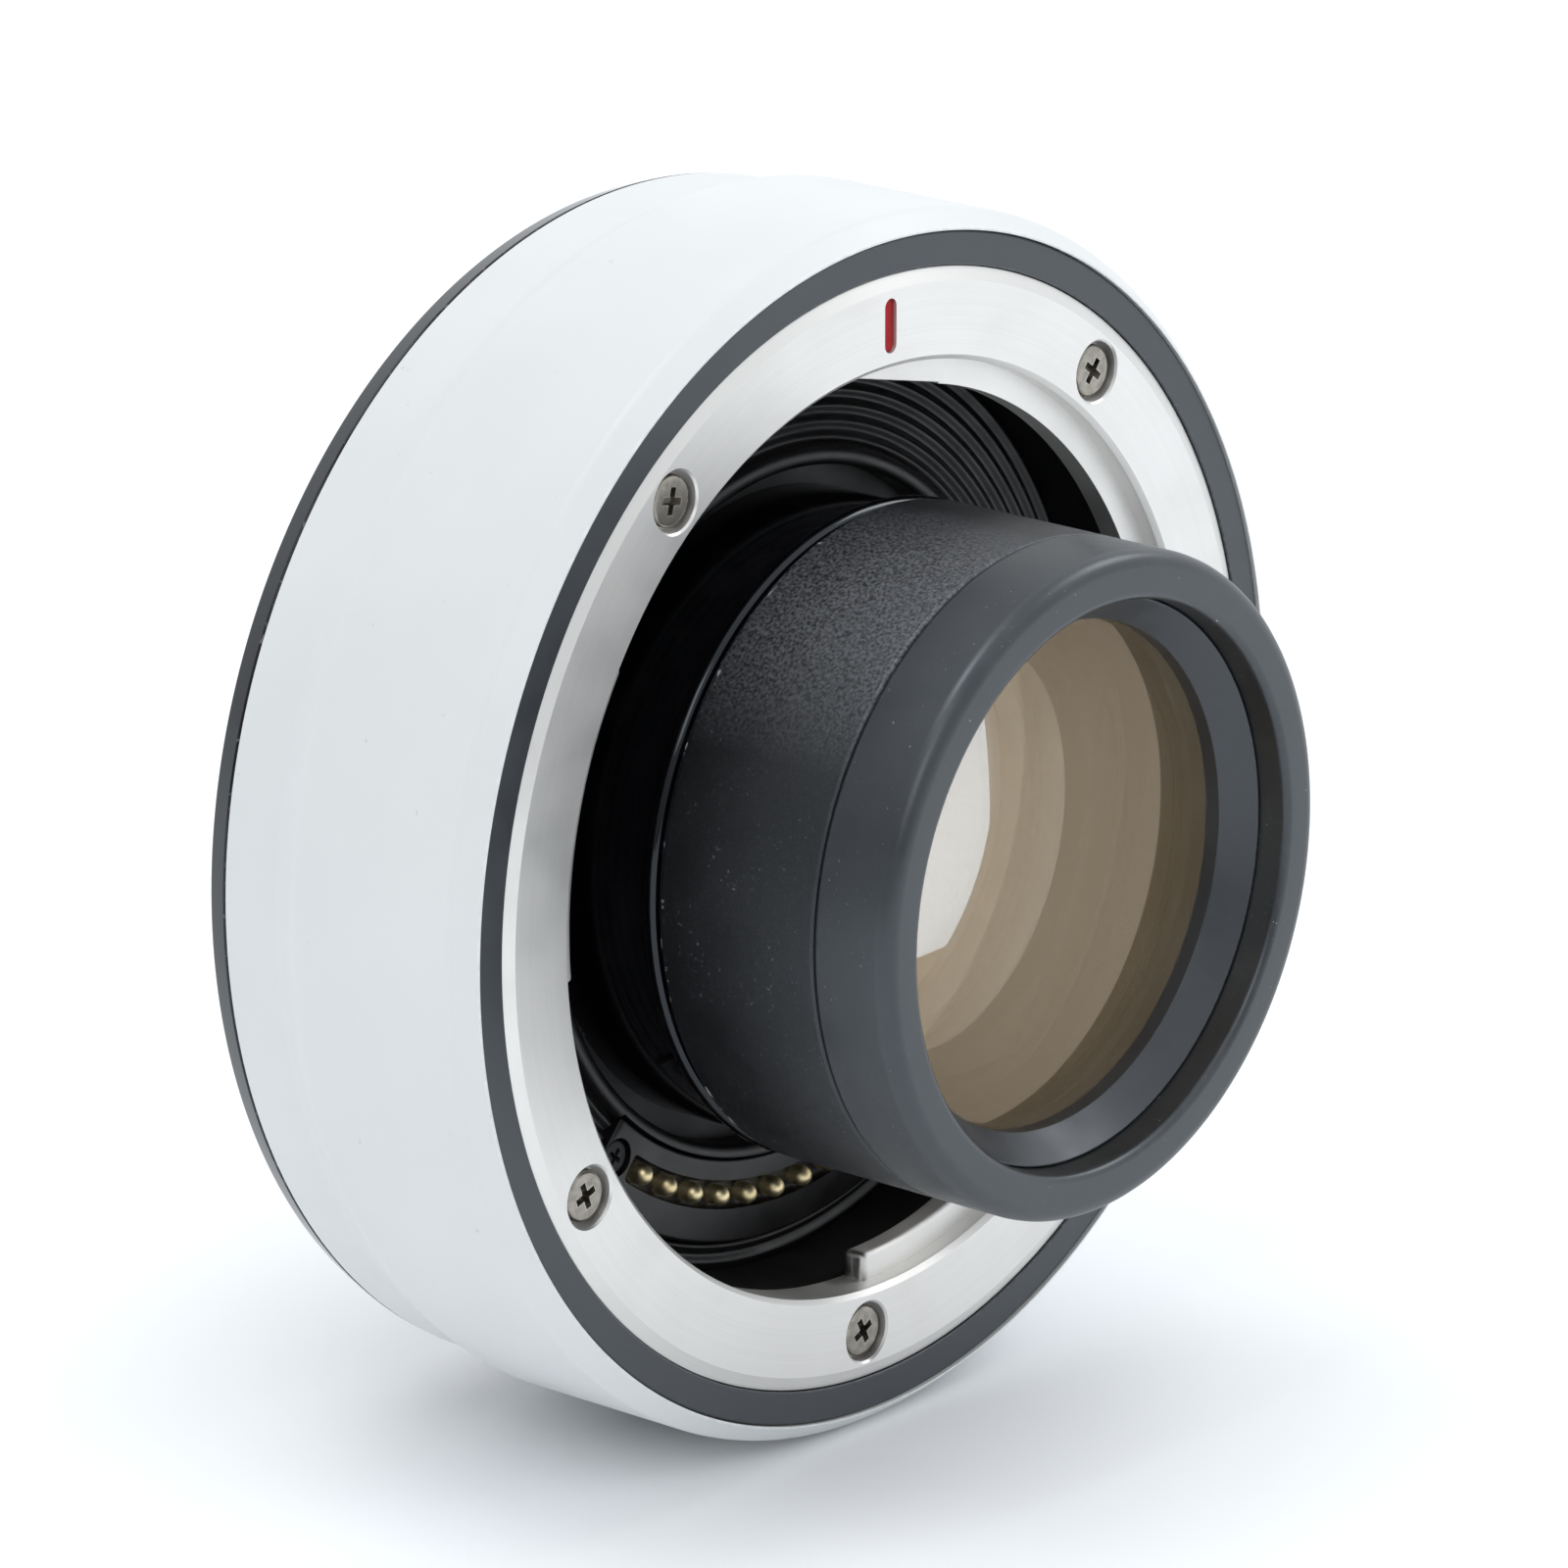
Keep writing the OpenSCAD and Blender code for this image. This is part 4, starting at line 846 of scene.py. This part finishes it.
def front_retaining_ring():
    inner_r = CONE_R - 1.65
    seat_r = CONE_R - 0.85
    land_top = CONE_LOW + 0.9
    piece("front_retaining_ring", lathe(rounded([
        (inner_r, CONE_LOW), (seat_r, CONE_LOW), (seat_r, CONE_STEP), (CONE_R, CONE_STEP),
        (CONE_R, CONE_TOP, 0.08), (inner_r, land_top, 0.12)])), "ring_paint")


# Glass: each cemented group is one body of glass

def sag(radius, r):
    """How far a sphere of a radius falls back at a distance from its axis."""
    return radius - math.sqrt(radius * radius - r * r)


def face(end, radius, r, hollow, steps=40):
    """Points of a lens face from the axis out.

    A domed face has its vertex at its end, and a hollow one its flat edge. A radius over 0 has its
    centre behind the face.
    """
    land = 0.6
    side = 1 if radius > 0 else -1
    reach = r - land if hollow else r
    vertex = end + side * sag(abs(radius), reach) if hollow else end
    distances = [reach * k / steps for k in range(steps + 1)]
    points = [(d, vertex - side * sag(abs(radius), d)) for d in distances]
    return points + [(r, end)] if hollow else points


def lens_group(nodes, front_radius, rear_radius):
    """One body of glass for the nodes of a group, from the first node's front to the last node's rear.

    Its rim is painted black.
    """
    r = ends(nodes[0])[0]
    front = face(ends(nodes[0])[2], front_radius, r, front_radius < 0)
    rear = face(ends(nodes[-1])[1], rear_radius, r, rear_radius > 0)
    obj = piece(nodes[0], lathe(front + rear[::-1], segments=192), "lens_glass", also=nodes[1:])
    obj.data.materials.append(LOOKS["black_alloy"])
    rim_from = (r - 0.01) * MM
    points = obj.data.vertices
    for side in obj.data.polygons:
        if all(math.hypot(points[k].co.x, points[k].co.z) > rim_from for k in side.vertices):
            side.material_index = 1


def lenses():
    lens_group(("lens_element_1", "lens_element_2"), front_radius=210, rear_radius=76)
    lens_group(("lens_element_3",), front_radius=-290, rear_radius=240)
    lens_group(("lens_element_4", "lens_element_5", "lens_element_6"), front_radius=52, rear_radius=-150)
    lens_group(("lens_element_7",), front_radius=36, rear_radius=115)


# Rear mount

def rear_mount():
    tube_in = 23.7
    tube_out = 25.2
    relief_r = 27.2
    relief_top = 0.3
    lug_root = tube_out - 0.3
    lug_r = 26.9
    lug_low = -4.3
    lug_top = -2.9
    flange = lathe(rounded([
        (tube_in, REAR_MOUNT_TOP), (MOUNT_R, REAR_MOUNT_TOP), (MOUNT_R, 0, 0.15), (relief_r, 0, 0.08),
        (relief_r, relief_top), (tube_out, relief_top), (tube_out, REAR_END, 0.3),
        (tube_in, REAR_END, 0.12)]))
    lugs = [soften(sector(lug_root, lug_r, lug_low, lug_top, a, a + REAR_LUG_SWEEP), width=0.15, steps=3)
            for a in REAR_LUG_STARTS]
    cuts = [flared_hole(r=1.65, flare=0.17, bottom=1.1, mouth=0, place=spot(a, SCREW_CIRCLE_R))
            for a in REAR_SCREW_ANGLES]
    cuts.append(flared_hole(r=1.4, flare=0.2, bottom=1.5, mouth=0, place=spot(LOCK_ANGLE, SCREW_CIRCLE_R)))
    cuts.append(cylinder(r=1.0, z0=-OVER, z1=0.3, place=spot(INDEX_ANGLE, SCREW_CIRCLE_R)))
    piece("rear_mount", combined(combined(flange, lugs, "UNION"), cuts), "mount_steel")


def rear_mount_screws():
    top = ends("rear_mount_screws")[2]
    flip = Matrix.Rotation(math.pi, 4, "X")
    piece("rear_mount_screws", merged([
        screw(head_r=1.5, head_t=0.85, shank_r=0.85, z_head=-0.25, z_end=-top,
              place=spot(a, SCREW_CIRCLE_R, turn=SCREW_TURN * i) @ flip)
        for i, a in enumerate(REAR_SCREW_ANGLES)]), "screw_steel")


def rear_index_mark():
    low, top = ends("rear_index_mark")[1:]
    r = 0.98
    piece("rear_index_mark", small_lathe(rounded([(0, low), (r, low, 0.1), (r, top), (0, top)]),
                                         spot(INDEX_ANGLE, SCREW_CIRCLE_R)), "red_fill")


def rear_light_baffle():
    low, top = ends("rear_light_baffle")[1:]
    out_r = 23.4
    cup_in = 15.45
    cup_out = cup_in + 1.0
    plate_t = 1.2
    plate_top = low + plate_t
    window_size = (25, 17, 3 * plate_t)
    plate = lathe(rounded([
        (0, low), (out_r, low, 0.15), (out_r, plate_top), (cup_out, plate_top), (cup_out, top),
        (cup_in, top), (cup_in, plate_top), (0, plate_top)]))
    window = block(window_size, spot(0, z=low + plate_t / 2))
    soften(window, width=3.0, steps=8, chosen=lambda edge: rise(edge) > plate_t)
    notch = contact_sector(r_in=20.65, r_out=25, z0=low - OVER, z1=plate_top + OVER, half=39)
    piece("rear_light_baffle", combined(plate, [window, notch]), "black_moulding")


def rear_contact_block():
    low, top = ends("rear_contact_block")[1:]
    ear_low = top - 1.0
    seat_size = (1.44, 1.44, 0.6)
    bar = contact_sector(r_in=20.9, r_out=23.6, z0=low, z1=top, half=38)
    ear = contact_sector(r_in=21.2, r_out=26.6, z0=ear_low, z1=top, half=37.5)
    soften(bar, width=0.2, steps=3)
    soften(ear, width=0.1, steps=2)
    seats = [block(seat_size, spot(a, PIN_CIRCLE_R, low)) for a in PIN_ANGLES]
    piece("rear_contact_block", combined(combined(bar, [ear], "UNION"), seats), "black_moulding")


def rear_contact_pads():
    low, top = ends("rear_contact_pads")[1:]
    pad_size = (1.36, 1.36, top - low)
    middle = (low + top) / 2
    pads = [soften(block(pad_size, spot(a, PIN_CIRCLE_R, middle)), width=0.12, steps=3) for a in PIN_ANGLES]
    piece("rear_contact_pads", merged(pads), "gold")


def rear_retaining_ring():
    out_r, low, top = ends("rear_retaining_ring")
    in_r = out_r - 1.2
    piece("rear_retaining_ring", lathe(rounded([
        (in_r, low, 0.3), (out_r, low, 0.1), (out_r, top), (in_r, top)])), "black_alloy")


# Lens release

def release_lever():
    plate_in = 32.55
    plate_out = 33.45
    plate_start = LOCK_ANGLE - 11
    plate_end = LOCK_ANGLE + 24
    knob_low = LEVER_LOW + 1.6
    knob_top = knob_low + 4.8
    knob_start = LOCK_ANGLE + 5
    knob_sweep = 8
    knob_root = plate_out - 0.3
    grip_r = 0.3
    grip_count = 4
    plate = sector(plate_in, plate_out, LEVER_LOW, LEVER_TOP, plate_start, plate_end)
    knob = lathe(rounded([
        (knob_root, knob_low), (KNOB_R, knob_low, 0.7), (KNOB_R, knob_top, 0.7), (knob_root, knob_top),
    ]), knob_start, knob_sweep)
    soften(knob, width=0.35, steps=3, chosen=lambda edge: not is_radial(edge) and rise(edge) > 0.01)
    grip_angles = [knob_start + knob_sweep * i / (grip_count + 1) for i in range(1, grip_count + 1)]
    grips = [cylinder(grip_r, knob_low - OVER, knob_top + OVER, spot(a, KNOB_R)) for a in grip_angles]
    knob = combined(knob, grips)
    piece("release_lever", combined(plate, [knob], "UNION"), "lever_black", "lever")


def lock_pin():
    pin_r = 1.3
    collar_r = 1.7
    tail_r = 0.65
    collar_top = LOCK_TIP - 8.7
    collar_low = collar_top - 1.4
    place = spot(LOCK_ANGLE, SCREW_CIRCLE_R)
    stem = small_lathe(rounded([
        (0, LOCK_LOW), (tail_r, LOCK_LOW), (tail_r, collar_low), (collar_r, collar_low),
        (collar_r, collar_top), (pin_r, collar_top), (pin_r, LOCK_TIP, 0.4), (0, LOCK_TIP)]), place)
    foot_place = place @ Matrix.Translation((0, 0, (collar_low + collar_top) / 2))
    foot_place @= Matrix.Rotation(math.radians(90), 4, "Y")
    foot = cylinder(r=0.6, z0=0, z1=3.8, place=foot_place)
    piece("lock_pin", merged([stem, foot]), "screw_steel", "lock_pin")


def dress_inner_nodes():
    """Gives the nodes the finish of their slot, for the inner ones, which keep their own shape."""
    for row in frame["record"]["subparts"]:
        obj = frame["nodes"][row["node"]]
        obj.data.materials.clear()
        obj.data.materials.append(LOOKS[row["material_slot"]])


for build in (
        outer_shell, rear_trim_ring, rear_seal_ring, front_trim_ring, front_mount_ring, front_mount_screws,
        index_mark, mount_leaf_springs, front_light_baffle, front_contact_block, contact_pins,
        front_contact_screws, barrel_base_ring, barrel_cover, tip_ring, front_retaining_ring, lenses,
        rear_mount, rear_mount_screws, rear_index_mark, rear_light_baffle, rear_contact_block,
        rear_contact_pads, rear_retaining_ring, release_lever, lock_pin, dress_inner_nodes):
    build()


# Studio

def floor():
    """A wide pale floor under the shell, with a glow that grows away from the object as on a lit sweep.

    Its lengths are in metres.
    """
    floor_r = 6.0
    glow_from = 0.013
    glow_to = 0.036
    glow = 0.15
    look = Look("floor", (0.84, 0.858, 0.88), 0.55, Specular_IOR_Level=0.3,
                Emission_Color=(0.97, 0.99, 1.0, 1.0))
    cloud = look.noise(120, 2)
    look.tint(look.level(cloud, 0.3, 0.7), (0.86, 0.878, 0.90))
    look.polish(cloud, 0.5, 0.6)
    away = look.node("ShaderNodeVectorMath", {0: look.place}, operation="LENGTH").outputs["Value"]
    look.link(look.level(away, glow_from, glow_to, 0.0, glow), look.shader.inputs["Emission Strength"])
    bm = bmesh.new()
    bmesh.ops.create_circle(bm, cap_ends=True, segments=96, radius=floor_r)
    mesh = bpy.data.meshes.new("floor")
    bm.to_mesh(mesh)
    bm.free()
    mesh.materials.append(look.material)
    obj = bpy.data.objects.new("floor", mesh)
    obj.location.z = -BODY_R * MM
    bpy.context.scene.collection.objects.link(obj)


def softbox(name, at, size, power):
    """A square area light at a place in metres, aimed at the object."""
    lamp = bpy.data.lights.new(name, "AREA")
    lamp.size = size
    lamp.energy = power
    obj = bpy.data.objects.new(name, lamp)
    obj.location = at
    obj.rotation_mode = "QUATERNION"
    obj.rotation_quaternion = (-Vector(at)).to_track_quat("-Z", "Y")
    bpy.context.scene.collection.objects.link(obj)


def room():
    """White surroundings, brighter above and behind the object than on the viewer's side."""
    bright_side = (0.7, 0.3, 0.65)
    world = bpy.data.worlds.new("room")
    world.use_nodes = True
    nodes, links = world.node_tree.nodes, world.node_tree.links
    side = nodes.new("ShaderNodeVectorMath")
    side.operation = "DOT_PRODUCT"
    side.inputs[1].default_value = bright_side
    links.new(nodes.new("ShaderNodeTexCoord").outputs["Generated"], side.inputs[0])
    level = nodes.new("ShaderNodeMapRange")
    for socket, value in (("From Min", -0.8), ("From Max", 0.4), ("To Min", 0.28), ("To Max", 1.06)):
        level.inputs[socket].default_value = value
    links.new(side.outputs["Value"], level.inputs["Value"])
    back = nodes["Background"]
    back.inputs["Color"].default_value = (0.945, 0.975, 1.0, 1)
    links.new(level.outputs["Result"], back.inputs["Strength"])
    bpy.context.scene.world = world


def camera():
    """Stands where the photograph was taken from."""
    place = (-0.4052, -0.3573, 0.1688)
    direction = (0.72645, 0.61815, -0.30028)
    lens = bpy.data.cameras.new("camera")
    lens.sensor_width = 36
    lens.lens = 225
    obj = bpy.data.objects.new("camera", lens)
    obj.location = place
    obj.rotation_mode = "QUATERNION"
    obj.rotation_quaternion = Vector(direction).to_track_quat("-Z", "Y")
    bpy.context.scene.collection.objects.link(obj)
    bpy.context.scene.camera = obj


floor()
room()
softbox("key", at=(-0.2, 0.05, 0.75), size=0.3, power=1.0)
softbox("viewer", at=(-0.45, -0.35, 0.45), size=0.3, power=0.6)
softbox("right", at=(0.5, -0.2, 0.45), size=0.25, power=0.7)
camera()
bpy.context.scene.view_settings.view_transform = "Standard"
